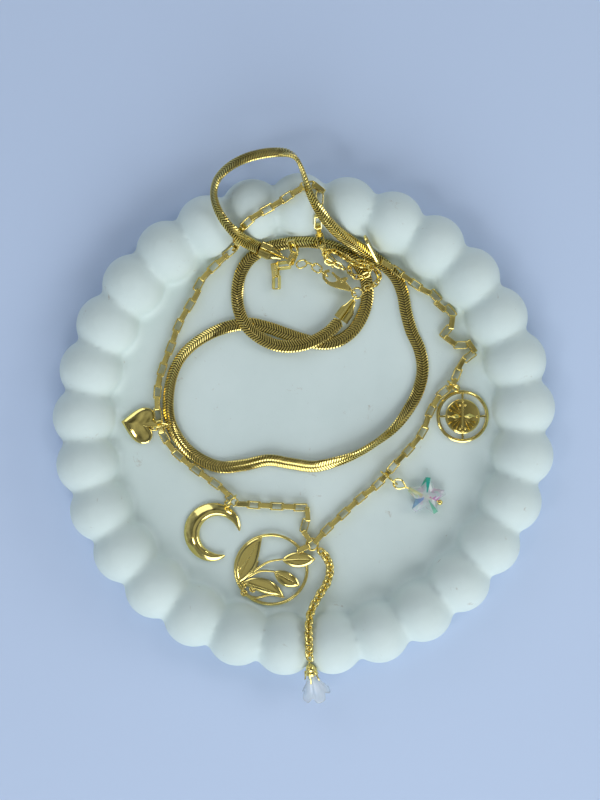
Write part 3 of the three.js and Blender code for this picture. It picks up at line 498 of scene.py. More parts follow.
def resting_route(rows, radius):
    """A route through rows of x, y and extra height, laid over the tray's floor and balls."""
    first = Route([(x, y, resting_height(x, y, radius + GAP) + lift) for x, y, lift in rows])
    points = []
    for distance in np.linspace(0, first.length, len(rows) * 4 + 1):
        x, y, z = first.point(distance)
        points.append((x, y, max(z, resting_height(x, y, radius + GAP))))
    return Route(points)


print("a box chain lies with its middle", resting_height(0, 0, BOX_REST), "mm up")
# %% [markdown]
# ## The herringbone band
# A herringbone chain is a row of flat wire links, bent and pressed so close together that they make
# a supple ribbon of slanting ribs. Separate links would be far too many, so the ribbon is swept as
# one skin: a flat oval outline is extruded from rib to groove to rib along the route, and each
# outline is bent to a chevron so that the ribs slant to both sides of the middle.

# %% The band's route
# The herringbone band: x, y, height of its lowest edge, and roll in degrees.
BAND_ROWS = [
    (12.0, 34.9, 7.8, 0), (8.2, 31.1, 7.7, 0), (3.4, 28.2, 7.7, 0), (-3.0, 26.4, 7.7, 0),
    (-9.6, 26.8, 7.7, 0), (-15.4, 29.5, 7.7, 0), (-19.6, 33.4, 7.7, 0), (-22.0, 38.4, 7.2, 0),
    (-22.7, 44.4, 6.12, 0), (-21.6, 50.8, 6.12, 0), (-18.6, 55.8, 6.12, 0), (-13.4, 59.3, 6.12, 0),
    (-6.4, 61.2, 6.12, -12), (0.6, 61.7, 6.12, -22), (7.4, 60.8, 6.12, -22), (13.2, 58.4, 6.12, -12),
    (18.2, 54.4, 6.12, 0), (21.0, 48.8, 6.12, 0), (21.4, 42.6, 6.12, 0), (19.6, 36.4, 6.12, 0),
    (16.0, 31.2, 6.12, 0), (11.0, 28.0, 6.12, 0), (5.4, 27.4, 6.12, 0), (-0.2, 28.7, 6.12, 0),
    (-6.0, 30.6, 6.12, 0), (-12.0, 32.7, 6.12, 0), (-18.0, 34.0, 6.12, 0), (-25.0, 33.2, 6.12, 5),
    (-31.4, 30.8, 6.12, 22), (-37.4, 27.0, 6.12, 30), (-41.8, 22.4, 6.12, 30), (-44.6, 16.4, 6.12, 28),
    (-45.9, 9.4, 6.12, 26), (-45.7, 2.2, 6.12, 20), (-43.6, -3.4, 6.12, 12), (-39.6, -8.6, 6.12, 6),
    (-34.4, -12.4, 6.12, 0), (-28.4, -14.5, 6.12, 0), (-20.6, -13.9, 6.12, 8), (-12.0, -12.2, 6.12, 18),
    (-4.6, -13.3, 6.12, 20), (3.2, -14.3, 6.12, 20), (10.4, -12.8, 6.12, 36), (17.6, -10.2, 6.12, 58),
    (24.4, -6.2, 6.12, 64), (30.4, -1.4, 6.12, 45), (35.2, 4.8, 6.12, 20), (38.6, 11.2, 6.12, 5),
    (40.2, 18.4, 6.12, 0), (39.2, 25.2, 6.12, 0), (36.4, 31.6, 6.12, 0), (34.6, 38.0, 6.12, 0),
    (33.4, 44.4, 6.12, 0), (31.2, 49.6, 6.12, 0), (27.6, 53.6, 6.12, 0), (22.4, 57.1, 6.8, -8),
    (17.0, 60.3, 9.4, -20), (12.0, 63.3, 13.6, -35), (8.4, 66.2, 17.0, -42), (5.6, 69.3, 19.3, -50),
    (3.4, 72.5, 20.6, -60), (1.6, 75.9, 21.4, -70), (0.3, 79.8, 21.6, -80), (-1.0, 83.6, 20.8, -85),
    (-2.6, 87.0, 19.8, -105), (-6.0, 89.2, 18.4, -140), (-12.2, 89.4, 17.6, -148),
    (-19.0, 87.8, 17.4, -146), (-24.8, 84.6, 17.8, -138), (-28.6, 80.2, 18.6, -125),
    (-29.6, 75.8, 19.0, -118), (-29.0, 72.4, 18.8, -120), (-27.6, 69.2, 18.3, -125),
    (-25.6, 66.2, 18.2, -130), (-23.4, 63.8, 17.5, -140), (-21.2, 61.9, 15.2, -148),
    (-18.6, 60.6, 11.8, -162), (-15.4, 59.5, 8.5, -176),
]
# %% Sweeping outlines
def sweep(bm, outlines):
    """Joins outlines of equal point count, one after another, and fills both ends."""
    ring = [bm.verts.new(point) for point in outlines[0]]
    first = edges = [bm.edges.new((ring[at - 1], ring[at])) for at in range(len(ring))]
    rings = [ring]
    for outline in outlines[1:]:
        made = bmesh.ops.extrude_edge_only(bm, edges=edges)["geom"]
        edges = [item for item in made if isinstance(item, bmesh.types.BMEdge) and item.is_boundary]
        after = {}
        for vert in made:
            if isinstance(vert, bmesh.types.BMVert):
                for edge in vert.link_edges:
                    after[edge.other_vert(vert)] = vert
        ring = [after[old] for old in ring]
        for vert, point in zip(ring, outline):
            vert.co = point
        rings.append(ring)
    bmesh.ops.holes_fill(bm, edges=first + edges)
    faces = {face for ring in rings for vert in ring for face in vert.link_faces}
    bmesh.ops.recalc_face_normals(bm, faces=list(faces))
    return rings


# %% Ribs
BAND = {
    "width": 4.3, "thickness": 1.4, "pitch": 0.88, "slant": 0.55,
    "groove": 0.55, "narrowing": 0.07,  # how thick a groove is, and how much narrower than a rib
    "fold": 0.7,  # painted shade along the fold down the middle: how much brightness it keeps
    "inner_width": 4.0,  # between the bottoms of its grooves, by which a turned stretch is raised
}
# One outline of the ribbon, from its left edge over the top: place across, and height.
BAND_SECTION = [
    (0.5, 0.0), (0.47, 0.26), (0.38, 0.44), (0.2, 0.5), (0.05, 0.49), (0.0, 0.44), (-0.05, 0.49),
    (-0.2, 0.5), (-0.38, 0.44), (-0.47, 0.26), (-0.5, 0.0), (-0.47, -0.26), (-0.38, -0.44), (0.0, -0.5),
    (0.38, -0.44), (0.47, -0.26),
]
FOLD_REACH = 0.03  # part of the width to each side of the fold that gets painted shade
RIB_STEPS = [(0.0, 0.96), (0.5, 1.0), (0.6, 0.2), (0.78, 0.0), (0.9, 0.4)]  # part of a pitch, height


def rib_outline(route, distance, crest):
    """An outline of the skin, bent to a chevron. It is lower and narrower in a groove."""
    frame_matrix = route.frame(min(distance, route.length))
    depth = 1 - (1 - BAND["groove"]) * (1 - crest)
    outline = []
    for across, tall in BAND_SECTION:
        y = across * BAND["width"] * (1 - BAND["narrowing"] * (1 - crest))
        ahead = BAND["slant"] * (abs(y) - BAND["width"] / 4)
        outline.append(frame_matrix @ Vector((ahead, y, tall * BAND["thickness"] * depth)))
    return outline


def ribbed_band(route):
    """The band as one skin, with the height of its ribs kept as an attribute from which its finish paints
    shade in the grooves and along the fold.
    """
    bm = bmesh.new()
    height = bm.verts.layers.float.new(HEIGHT)
    ribs = int(route.length / BAND["pitch"])
    steps = [(rib + part, crest) for rib in range(ribs) for part, crest in RIB_STEPS]
    outlines = [rib_outline(route, place * route.length / ribs, crest) for place, crest in steps]
    for ring, (_, crest) in zip(sweep(bm, outlines), steps):
        for vert, (across, _) in zip(ring, BAND_SECTION):
            # Low rib steps get painted shade, and the fold down the middle gets more of it.
            vert[height] = crest if abs(across) > FOLD_REACH else crest * BAND["fold"]
    return bm


band_rows = []
for x, y, low, roll in BAND_ROWS:
    upright = abs(math.sin(math.radians(roll))) * BAND["inner_width"]
    level = abs(math.cos(math.radians(roll))) * BAND["thickness"]
    band_rows.append((x, y, low + (upright + level) / 2))
band_route = Route(band_rows, [row[3] for row in BAND_ROWS])
add_piece(
    "herringbone_ribbon", ribbed_band(band_route), "herringbone_band",
    angle=24, material=GOLD_BAND,
)
print("the band is", round(band_route.length), "mm long")
# %% [markdown]
# ## Chains
# A box chain is made of flat wire bent into rectangles; each link is turned a quarter from the last,
# so seen from above they lie flat and stand on edge by turns. One link is made with inset, extrude
# and bevel, and copied into the frames along the route. Round and oval links are rings of wire made
# with spin. All the links of a strand end up in one mesh.

# %% Routes of the chains
# The box chains: x, y, and extra height above resting on the tray.
LEFT_ROWS = [
    (2.0, -39.6, 0), (0.0, -36.1, 0), (0.4, -33.6, 0), (1.2, -30.6, 0), (0.3, -28.5, 0),
    (-2.7, -28.1, 0), (-12.2, -27.6, 0), (-19.2, -27.1, 0.3), (-22.9, -26.5, 1.15), (-27.6, -22.0, 0.3),
    (-33.6, -17.6, 0), (-39.4, -13.2, 0), (-45.0, -7.9, 0), (-47.9, -2.9, 0.3), (-48.9, 0.9, 1.4),
    (-49.7, 7.0, 0.3), (-49.2, 14.4, 0), (-47.4, 20.6, 0), (-45.0, 26.6, 0), (-42.6, 33.4, 0),
    (-38.8, 40.2, 0), (-36.4, 44.0, 0), (-35.8, 47.0, 0), (-31.2, 52.6, 0.5), (-26.8, 56.4, 1.0),
    (-22.9, 60.0, 0), (-21.8, 63.4, 0), (-17.2, 67.8, 0), (-12.2, 70.9, 0), (-7.4, 73.8, 0.2),
    (-2.8, 76.6, 0), (1.0, 78.7, 0), (4.8, 78.2, 0), (5.0, 74.6, 0), (4.8, 70.6, 0), (4.6, 67.0, 0),
    (5.2, 63.4, 3.4), (6.2, 59.6, 3.4), (8.2, 56.2, 1.6), (10.3, 54.0, 0.8),
]
# From the hub up the right side.
RIGHT_ROWS = [
    (3.8, -39.9, 0), (7.4, -35.9, 0), (12.8, -30.8, 0), (18.8, -25.2, 0), (25.2, -20.0, 0.4),
    (28.6, -16.0, 1.4), (31.6, -12.6, 0.2), (35.6, -8.4, 0), (40.2, -2.4, 0), (42.8, 4.4, 0),
    (46.0, 9.9, 0.3), (49.9, 13.3, 1.15), (51.6, 16.8, 0.2), (53.6, 21.2, 0), (57.0, 24.2, 0),
    (56.2, 26.8, 0), (51.8, 27.0, 0), (47.6, 30.4, 0), (49.8, 33.4, 0), (49.7, 38.0, 0),
    (46.0, 40.0, 0), (44.4, 43.4, 0), (40.6, 45.4, 0), (35.4, 48.8, 1.0), (30.8, 52.0, 1.8),
    (26.4, 54.6, 1.9),
]
# Links folded beside the tail cap.
TAIL_ROWS = [
    (-4.4, 61.6, 3.4), (-3.4, 58.0, 2.0), (-5.4, 54.2, 0.8), (-9.6, 53.2, 0.5), (-9.4, 49.6, 0.4),
    (-9.4, 46.0, 0.4),
]
# Oval links from the tail cap to the clasp's hook.
OVAL_ROWS = [
    (-2.2, 53.7, 0.8), (0.9, 54.6, 0.8), (4.1, 52.9, 1.2), (7.7, 50.1, 1.45),
]
# Round links from the hub to the flower.
DROP_ROWS = [
    (5.2, -42.6, 0), (7.2, -44.6, 0), (8.7, -48.4, 0), (8.0, -53.0, 0), (5.0, -58.0, 0.6),
    (2.4, -62.6, 2.8), (1.5, -67.2, 0.4), (1.5, -71.0, 0), (1.6, -74.4, 0), (1.8, -77.6, 0),
]
# The piled extender chain.
CURB_ROWS = [
    (20.6, 46.0, 1.9), (23.6, 47.0, 1.4), (25.4, 49.8, 0.6), (24.0, 52.4, 1.2), (20.6, 54.6, 2.4),
    (16.8, 54.6, 2.4), (15.2, 52.0, 1.8), (17.6, 49.8, 1.8), (21.2, 50.6, 2.4), (22.0, 53.0, 4.3),
    (18.8, 53.4, 4.6), (15.4, 55.0, 4.6), (12.6, 56.8, 4.2), (9.6, 58.2, 5.2), (7.0, 57.2, 5.9),
    (7.8, 54.6, 5.8), (10.6, 53.8, 5.0), (13.4, 52.4, 4.0),
]
# %% Link shapes
BOX_LINK = {"length": 4.9, "width": 2.7, "wall": 0.44, "depth": 1.6, "corner": 0.5, "edge": 0.11}
TOUCH = 1e-4  # places nearer than this are one place


def move(bm, matrix, verts=None):
    bmesh.ops.transform(bm, matrix=matrix, verts=verts or bm.verts[:])


def corners(bm, angle):
    """The edges whose faces meet at more than this angle."""
    return [edge for edge in bm.edges if edge.calc_face_angle(0) > math.radians(angle)]


def soften_edges(bm, edges, offset, segments):
    bmesh.ops.bevel(
        bm, geom=edges, offset=offset, affect="EDGES", segments=segments, profile=0.5, material=-1,
    )


def lift_copy(bm, faces, thickness):
    """Raises a copy of flat faces to make a plate that is centred in its thickness."""
    made = bmesh.ops.extrude_face_region(bm, geom=faces, use_keep_orig=True)["geom"]
    lifted = [item for item in made if isinstance(item, bmesh.types.BMVert)]
    bmesh.ops.translate(bm, vec=(0, 0, thickness), verts=lifted)
    bmesh.ops.translate(bm, vec=(0, 0, -thickness / 2), verts=bm.verts)
    bmesh.ops.recalc_face_normals(bm, faces=bm.faces)
    return made


def box_link():
    """A rectangle of flat wire that lies along X, with rounded corners and soft edges."""
    bm = bmesh.new()
    bmesh.ops.create_grid(bm, x_segments=1, y_segments=1, size=0.5)
    bmesh.ops.scale(bm, vec=(BOX_LINK["length"], BOX_LINK["width"], 1), verts=bm.verts)
    bmesh.ops.bevel(
        bm, geom=bm.verts[:], offset=BOX_LINK["corner"], affect="VERTICES",
        segments=2, profile=0.5, material=-1,
    )
    middle = bm.faces[:]
    bmesh.ops.inset_region(bm, faces=middle, thickness=BOX_LINK["wall"], use_boundary=True)
    bmesh.ops.delete(bm, geom=middle, context="FACES")
    lift_copy(bm, bm.faces[:], BOX_LINK["depth"])
    soften_edges(bm, corners(bm, 60), BOX_LINK["edge"], 2)
    return bm


def spin_round(bm, sides):
    """Turns an outline once round Z into a skin whose ends and poles are merged."""
    bmesh.ops.spin(
        bm, geom=bm.verts[:] + bm.edges[:], axis=UP, cent=(0, 0, 0),
        angle=2 * math.pi, steps=sides, use_merge=True,
    )
    bmesh.ops.remove_doubles(bm, verts=bm.verts, dist=TOUCH)


def wire_ring(radius, wire, stretch=1.0, sides=20, wire_sides=8):
    """A ring of round wire that lies flat, longer along X by the stretch."""
    bm = bmesh.new()
    start = Matrix.Translation((0, radius, 0)) @ Matrix.Rotation(math.pi / 2, 4, "Y")
    bmesh.ops.create_circle(bm, segments=wire_sides, radius=wire, matrix=start)
    spin_round(bm, sides)
    longer = (stretch - 1.0) * radius
    for vert in bm.verts:
        if abs(vert.co.x) > TOUCH:
            vert.co.x += math.copysign(longer, vert.co.x)
    bmesh.ops.recalc_face_normals(bm, faces=bm.faces)
    return bm


def add_copies(target, source, frames=(Matrix.Identity(4),)):
    """Adds a copy of one bmesh to another in each frame, or one copy where it is."""
    stamp = bpy.data.meshes.new("stamp")
    source.to_mesh(stamp)
    for frame_matrix in frames:
        before = len(target.verts)
        target.from_mesh(stamp)
        target.verts.ensure_lookup_table()
        move(target, frame_matrix, target.verts[before:])
    bpy.data.meshes.remove(stamp)
    source.free()


print("one box link has", len(box_link().faces), "faces")

# %% Strands
STRANDS = [
    # piece, rows, half its thickness, links, turn of the first link, one link, solid
    ("box_links_left", LEFT_ROWS, BOX_REST, 54, 90, box_link(), "box_chain_left"),
    ("box_links_right", RIGHT_ROWS, BOX_REST, 35, 90, box_link(), "box_chain_right"),
    ("folded_tail_links", TAIL_ROWS, BOX_REST, 5, 30, box_link(), "tail_links"),
    ("extender_links", OVAL_ROWS, 1.35, 4, 0, wire_ring(1.25, 0.3, 1.42), "oval_links"),
    ("round_links", DROP_ROWS, 1.75, 21, 45, wire_ring(1.36, 0.46, 1.08), "drop_chain"),
    ("piled_links", CURB_ROWS, 0.85, 34, 35, wire_ring(0.9, 0.3, 1.42, 16, 6), "curb_chain"),
]
link_places = {}

for name, rows, half, links, first_turn, link, replaced in STRANDS:
    route = resting_route(rows, half)
    link_places[name] = [
        route.frame((at + 0.5) / links * route.length, first_turn + 90 * (at % 2)) for at in range(links)
    ]
    strand = bmesh.new()
    add_copies(strand, link, link_places[name])
    add_piece(name, strand, replaced, shade_plates, 60, GOLD_LINKS)
# %% [markdown]
# ## Jump rings
# A jump ring is a turn of round wire that joins a charm to a chain. It is the same spun ring as a
# round link, only finer. Where a ring hangs on a chain it stands on edge round the link next to it,
# so the nearest link's frame says where it goes and which way it faces.

# %% Rings
RING_WIRE = 0.34
HUB = Vector((2.75, -40.65, 7.37))  # the middle of the ring that gathers the chains and the pendant
PENDANT_LINK = {"turn": 205, "away": 3.3}
HUNG_RINGS = [
    # piece, strand, x and y of its link, side, distance out, half length, half height, solid
    ("heart_jump_ring", "box_links_left", -48.9, 0, 1, 0.42, 2.3, 2.3, "heart_charm_ring"),
    ("moon_jump_ring", "box_links_left", -24.5, -25.2, 1, 0.42, 2.3, 2.3, "moon_charm_ring"),
    ("medallion_jump_ring", "box_links_right", 49.9, 13.3, -1, 0.42, 2.3, 2.3, "medallion_ring"),
    ("star_oval_ring", "box_links_right", 27.2, -17.7, -1, 1.3, 3.5, 2.6, "star_ring"),
]


def turned(angle, axis="Z"):
    return Matrix.Rotation(math.radians(angle), 4, axis)


def placed(x, y, z, angle=0.0):
    return Matrix.Translation((x, y, z)) @ turned(angle)


def nearest_link(strand_name, x, y):
    def distance(link):
        return math.hypot(link.translation.x - x, link.translation.y - y)

    return min(link_places[strand_name], key=distance)


def add_ring(name, place, radius, replaced, stretch=1.0):
    ring_mesh = wire_ring(radius, RING_WIRE, stretch, 32, 10)
    move(ring_mesh, place)
    add_piece(name, ring_mesh, replaced)


for name, strand_name, x, y, side, away, half_length, half_height, replaced in HUNG_RINGS:
    link = nearest_link(strand_name, x, y)
    outwards = UP.cross(link.col[0].to_3d()).normalized() * side
    middle = link.translation + outwards * away
    middle.z = TRAY["floor"] + GAP + half_height + RING_WIRE
    add_ring(name, axes_matrix(middle, outwards, UP), half_height, replaced, half_length / half_height)
add_ring("hub_ring", Matrix.Translation(HUB), 2.0, "centre_ring")
add_ring("clasp_jump_ring", placed(17.9, 44.3, 8.9), 1.75, "clasp_ring")
pendant_link = box_link()
towards = turned(PENDANT_LINK["turn"]).col[0].to_3d()
move(pendant_link, axes_matrix(HUB + towards * PENDANT_LINK["away"], towards, UP))
add_piece("pendant_box_link", pendant_link, "pendant_link", shade_plates, 60)
# %% [markdown]
# ## End caps
# Each end of the band is pinched in a folded cap: a flat sheet wrapped round the band, whose two
# edges meet in a seam along the top, narrowing to a tongue with an eye. The seam and the rolled
# edges catch the light, so they are part of the outline that is swept along the cap.

# %% Folded caps
CAP = {"width": 5.2, "thickness": 2.35, "eye": 0.95}
# Half of the cap's outline, from the seam over the edge to the underside.
CAP_HALF = [
    (0.0, 0.62), (0.06, 0.8), (0.16, 0.98), (0.5, 0.86), (0.74, 0.98), (0.92, 0.86), (1.0, 0.5),
    (1.0, -0.5), (0.9, -0.88), (0.5, -1.0), (0.0, -1.0),
]
# Along the cap: part of its length, and how wide and how thick it is.
CAP_STEPS = [
    (0.0, 1.0, 1.06), (0.05, 1.03, 1.08), (0.1, 1.0, 1.0), (0.42, 1.0, 0.98), (0.5, 0.95, 0.95),
    (0.62, 0.76, 0.86), (0.75, 0.58, 0.78), (0.88, 0.46, 0.72), (0.97, 0.4, 0.66), (1.0, 0.3, 0.5),
]


def eye_ring(radius, wire=RING_WIRE):
    return wire_ring(radius, wire, 1.0, 28, 10)


def folded_cap(name, rows, replaced):
    route = Route(rows)
    section = CAP_HALF + [(-y, z) for y, z in CAP_HALF[-2:0:-1]]
    outlines = []
    for part, wide, thick in CAP_STEPS:
        frame_matrix = route.frame(part * route.length)
        half_width, half_height = CAP["width"] / 2 * wide, CAP["thickness"] / 2 * thick
        outlines.append([frame_matrix @ Vector((0, y * half_width, z * half_height)) for y, z in section])
    bm = bmesh.new()
    sweep(bm, outlines)
    eye_place = route.frame(route.length) @ Matrix.Translation((CAP["eye"] * 0.9, 0, 0)) @ turned(90, "X")
    add_copies(bm, eye_ring(CAP["eye"]), [eye_place])
    add_piece(name, bm, replaced, shade_plates, 32)


folded_cap("folded_clasp_cap", [(12.3, 35.3, 8.6), (14.6, 38.5, 8.75), (16.7, 41.9, 8.9)], "clasp_end_cap")
folded_cap("folded_tail_cap", [(-15.0, 59.3, 9.3), (-11.4, 57.9, 8.9), (-7.6, 56.6, 8.2)], "tail_end_cap")
# %% [markdown]
# ## The clasp
# The clasp is a small cast claw with a lever on a pin. Both are thick plates of a curved outline
# with softly rounded edges. The outline is drawn with Bezier pieces, filled, extruded and bevelled.
# A slot for the lever is cut with a Boolean modifier, which is then applied.

# %% Plates from curved outlines
FLAT = 0.01  # an edge whose ends differ less in height lies level


def bezier(points, steps):
    """Points along joined cubic pieces: a start, then two handles and an end for each piece."""
    path = [Vector(points[0]).to_3d()]
    for at in range(1, len(points), 3):
        knots = [path[-1]] + [Vector(point).to_3d() for point in points[at : at + 3]]
        path += interpolate_bezier(*knots, steps + 1)[1:]
    return path


def plate(outline, thickness, edge, dome=()):
    """A flat piece of this outline, centred in its thickness, with rounded edges.

    Each step of the dome goes inwards from the edge of the upper face, and up."""
    bm = bmesh.new()
    face = bm.faces.new([bm.verts.new(Vector(point).to_3d()) for point in outline])
    made = lift_copy(bm, [face], thickness)
    faces = [item for item in made if isinstance(item, bmesh.types.BMFace)]
    top = next(face for face in faces if len(face.verts) == len(outline))
    for inwards, up in dome:
        bmesh.ops.inset_region(bm, faces=[top], thickness=inwards, depth=up, use_even_offset=False)
    rim = [e for e in corners(bm, 60) if abs(e.verts[0].co.z - e.verts[1].co.z) < FLAT]
    soften_edges(bm, rim, edge, 3)
    bmesh.ops.triangulate(bm, faces=[face for face in bm.faces if len(face.verts) > 4])
    return bm


def cut_away(bm, cutter):
    """What is left of one bmesh once another is cut out of it. Both are in millimetres."""
    whole, tool = finish_object("whole", bm), finish_object("cutter", cutter)
    cut = whole.modifiers.new("cut", "BOOLEAN")
    cut.operation, cut.solver, cut.object = "DIFFERENCE", "EXACT", tool
    apply_modifiers(whole)
    rest = bmesh.new()
    rest.from_mesh(whole.data)
    bmesh.ops.scale(rest, vec=(1 / MM,) * 3, verts=rest.verts)
    for used in (whole, tool):
        bpy.data.objects.remove(used)
    return rest


def cylinder(radius, depth, matrix):
    bm = bmesh.new()
    bmesh.ops.create_cone(
        bm, cap_ends=True, segments=20, radius1=radius, radius2=radius, depth=depth, matrix=matrix,
    )
    return bm


def bead(radius, flatness=0.7, around=14):
    bm = bmesh.new()
    bmesh.ops.create_uvsphere(bm, u_segments=around, v_segments=8, radius=radius)
    bmesh.ops.scale(bm, vec=(1, 1, flatness), verts=bm.verts)
    return bm


print("plate helpers ready")

# %% Claw and lever
CLASP_PLACE = placed(15.6, 45.3, 8.9, 146) @ turned(180, "X")
CLAW = [
    (0, 0.6), (0, 0.2), (0, -0.2), (0, -0.6), (0.5, -0.8), (1.0, -0.9), (1.6, -1.1), (3.8, -2.2),
    (5.8, -2.7), (7.8, -2.7), (11.2, -2.7), (11.9, 0.6), (9.9, 1.8), (9.6, 1.6), (9.3, 1.3), (9.0, 1.05),
    (10.3, 0.6), (10.5, -1.6), (7.8, -1.6), (6.7, -1.6), (6.0, -0.9), (5.6, -0.3), (5.3, 0.4), (5.05, 1.1),
    (4.8, 1.7), (3.4, 1.8), (2.0, 1.2), (1.6, 1.1), (1.0, 0.95), (0.5, 0.8), (0, 0.6),
]
LEVER = [
    (3.0, 0.1), (3.7, 0.0), (4.4, 0.0), (5.0, 0.1), (6.2, 0.5), (7.4, 0.9), (8.5, 1.2), (8.6, 1.4),
    (8.5, 1.7), (8.4, 1.85), (7.2, 1.7), (6.0, 1.5), (5.0, 1.35), (4.5, 1.6), (4.2, 2.8), (3.7, 2.8),
    (3.4, 3.0), (3.1, 2.9), (2.9, 2.7), (2.8, 1.8), (2.8, 1.0), (3.0, 0.1),
]
PIVOT = Vector((4.1, 0.75, 0))
SLOT = {"size": (4.8, 5.4, 0.94), "middle": (4.7, 2.3, 0)}
RIVET_HEIGHT = 0.738

slot = bmesh.new()
bmesh.ops.create_cube(slot, size=1)
bmesh.ops.scale(slot, vec=SLOT["size"], verts=slot.verts)
bmesh.ops.translate(slot, vec=SLOT["middle"], verts=slot.verts)
claw = cut_away(plate(bezier(CLAW, 4)[:-1], 1.6, 0.14), slot)
bmesh.ops.remove_doubles(claw, verts=claw.verts, dist=0.001)
bmesh.ops.recalc_face_normals(claw, faces=claw.faces)
print("the claw's volume is", round(claw.calc_volume(signed=True), 1), "cubic mm")
add_copies(claw, eye_ring(0.95), [Matrix.Translation((-0.95, 0, 0)) @ turned(90, "X")])
add_copies(claw, cylinder(0.3, 1.5, Matrix.Translation(PIVOT)))
add_copies(
    claw, bead(0.5, 0.4, 16),
    [Matrix.Translation((PIVOT.x, PIVOT.y, height)) for height in (-RIVET_HEIGHT, RIVET_HEIGHT)],
)
move(claw, CLASP_PLACE)
add_piece("claw_of_clasp", claw, "clasp_body", shade_plates, 50)
lever = cut_away(plate(bezier(LEVER, 3)[:-1], 0.7, 0.09), cylinder(0.42, 4.0, Matrix.Translation(PIVOT)))
move(lever, CLASP_PLACE)
add_piece("lever_of_clasp", lever, "clasp_lever", shade_plates, 50, body="clasp_lever")
# %% [markdown]
# ## Heart and moon
# The heart is a small pillow of sheet gold. A ball is flattened, and its rim is pulled out to the
# heart's outline while its middle stays round, so the notch fades as it nears the crown. The moon
# is a crescent with a soft crest near its inner edge; its outline is swept from horn to horn.

# %% Heart
BAIL = {"radius": 1.0, "wire": 0.3}
HEART = {"thickness": 2.2, "crown": 4.4, "fullness": 2.0, "fade": 1.5}
HEART_OUTLINE = [
    (0, 3.2), (-0.8, 5.8), (-6.2, 6.0), (-6.2, 1.8), (-6.2, -1.6), (-2.4, -3.8), (0, -6.2), (2.4, -3.8),
    (6.2, -1.6), (6.2, 1.8), (6.2, 6.0), (0.8, 5.8), (0, 3.2),
]


def add_bail(bm, x, y, z):
    """Adds the small ring at the top of a charm that its jump ring passes through."""
    add_copies(bm, eye_ring(BAIL["radius"], BAIL["wire"]), [Matrix.Translation((x, y, z))])


def pillow(outline, thickness, crown, fullness, fade):
    """A ball flattened to a thickness, with its rim pulled out to an outline."""
    bm = bmesh.new()
    bmesh.ops.create_uvsphere(bm, u_segments=96, v_segments=32, radius=1)
    polar = sorted((math.atan2(point.y, point.x), point.length) for point in outline)
    angles, reaches = zip(*polar)
    for vert in bm.verts:
        part = min(math.hypot(vert.co.x, vert.co.y), 1.0)
        angle = math.atan2(vert.co.y, vert.co.x)
        reach = float(np.interp(angle, angles, reaches, period=2 * math.pi))
        reach = part * (crown + (reach - crown) * part**fade)
        height = (1 - part**fullness) ** (1 / fullness) * thickness / 2
        vert.co = (math.cos(angle) * reach, math.sin(angle) * reach, math.copysign(height, vert.co.z))
    return bm


heart = pillow(bezier(HEART_OUTLINE, 16), **HEART)
add_bail(heart, 0, 5.3, 0)
move(heart, placed(-55.9, -0.2, 7.22, -100))
add_piece("puffed_heart", heart, "heart_charm")

# %% Moon
MOON = {"outer": 9.95, "inner": 6.3, "shift": (1.55, -0.7), "from": 3, "to": 297, "thickness": 2.2}
MOON_STEPS = 81
# How wide and how thick the horns' tips are, and how fast they grow from there.
HORN = {"wide": 0.12, "widening": 2.6, "thick": 0.3, "thickening": 2.4}
# From the inner edge over the crest to the outer edge, and back underneath: part across, and height.
MOON_SECTION = [
    (0.0, -0.1), (0.03, 0.24), (0.09, 0.6), (0.18, 0.88), (0.29, 1.0), (0.41, 0.95), (0.56, 0.76),
    (0.72, 0.46), (0.87, 0.12), (0.97, -0.12), (1.0, -0.3), (0.93, -0.6), (0.75, -0.9), (0.5, -1.0),
    (0.25, -0.85), (0.07, -0.5),
]


def moon_outline(part):
    """The moon's outline at a part of the way from horn to horn."""
    angle = math.radians(MOON["from"] + (MOON["to"] - MOON["from"]) * part)
    x, y = MOON["shift"]
    along, across = x * math.cos(angle) + y * math.sin(angle), x * math.sin(angle) - y * math.cos(angle)
    inner = along + math.sqrt(MOON["inner"] ** 2 - across**2)
    middle, half = (MOON["outer"] + inner) / 2, (MOON["outer"] - inner) / 2
    to_horn = min(part, 1 - part)
    half *= min(1.0, HORN["wide"] + HORN["widening"] * math.sqrt(to_horn))
    tall = MOON["thickness"] / 2 * min(1.0, HORN["thick"] + HORN["thickening"] * to_horn)
    reaches = [(middle + (2 * place - 1) * half, height * tall) for place, height in MOON_SECTION]
    return [Vector((reach * math.cos(angle), reach * math.sin(angle), z)) for reach, z in reaches]


moon = bmesh.new()
sweep(moon, [moon_outline(part) for part in np.linspace(0, 1, MOON_STEPS)])
add_bail(moon, 4.9, 9.8, 0.1)
move(moon, placed(-30.79, -36.68, 7.136))
add_piece("crescent_moon", moon, "moon_charm", angle=50)

# %% [markdown]
# ## Medallion
# A round plate inside a thin flat hoop, joined by four short spokes. A slim cross lies on the plate,
# with diamond-shaped arms, a scatter of dots and three fans of wedge-shaped rays between the arms.
# Hoop and plate are turned, and the rest are boxes, cones and balls: relief so low needs no more.

# %% Relief parts
def turned_part(section, sides, closed=False):
    """A section turned once round Z."""
    bm = bmesh.new()
    verts = [bm.verts.new((reach, 0, z)) for reach, z in section]
    for at in range(0 if closed else 1, len(verts)):
        bm.edges.new((verts[at - 1], verts[at]))
    spin_round(bm, sides)
    bmesh.ops.recalc_face_normals(bm, faces=bm.faces)
    return bm


def soft_box(length, width, height):
    bm = bmesh.new()
    bmesh.ops.create_cube(bm, size=1)
    bmesh.ops.scale(bm, vec=(length, width, height), verts=bm.verts)
    soften_edges(bm, bm.edges[:], 0.1, 2)
    return bm


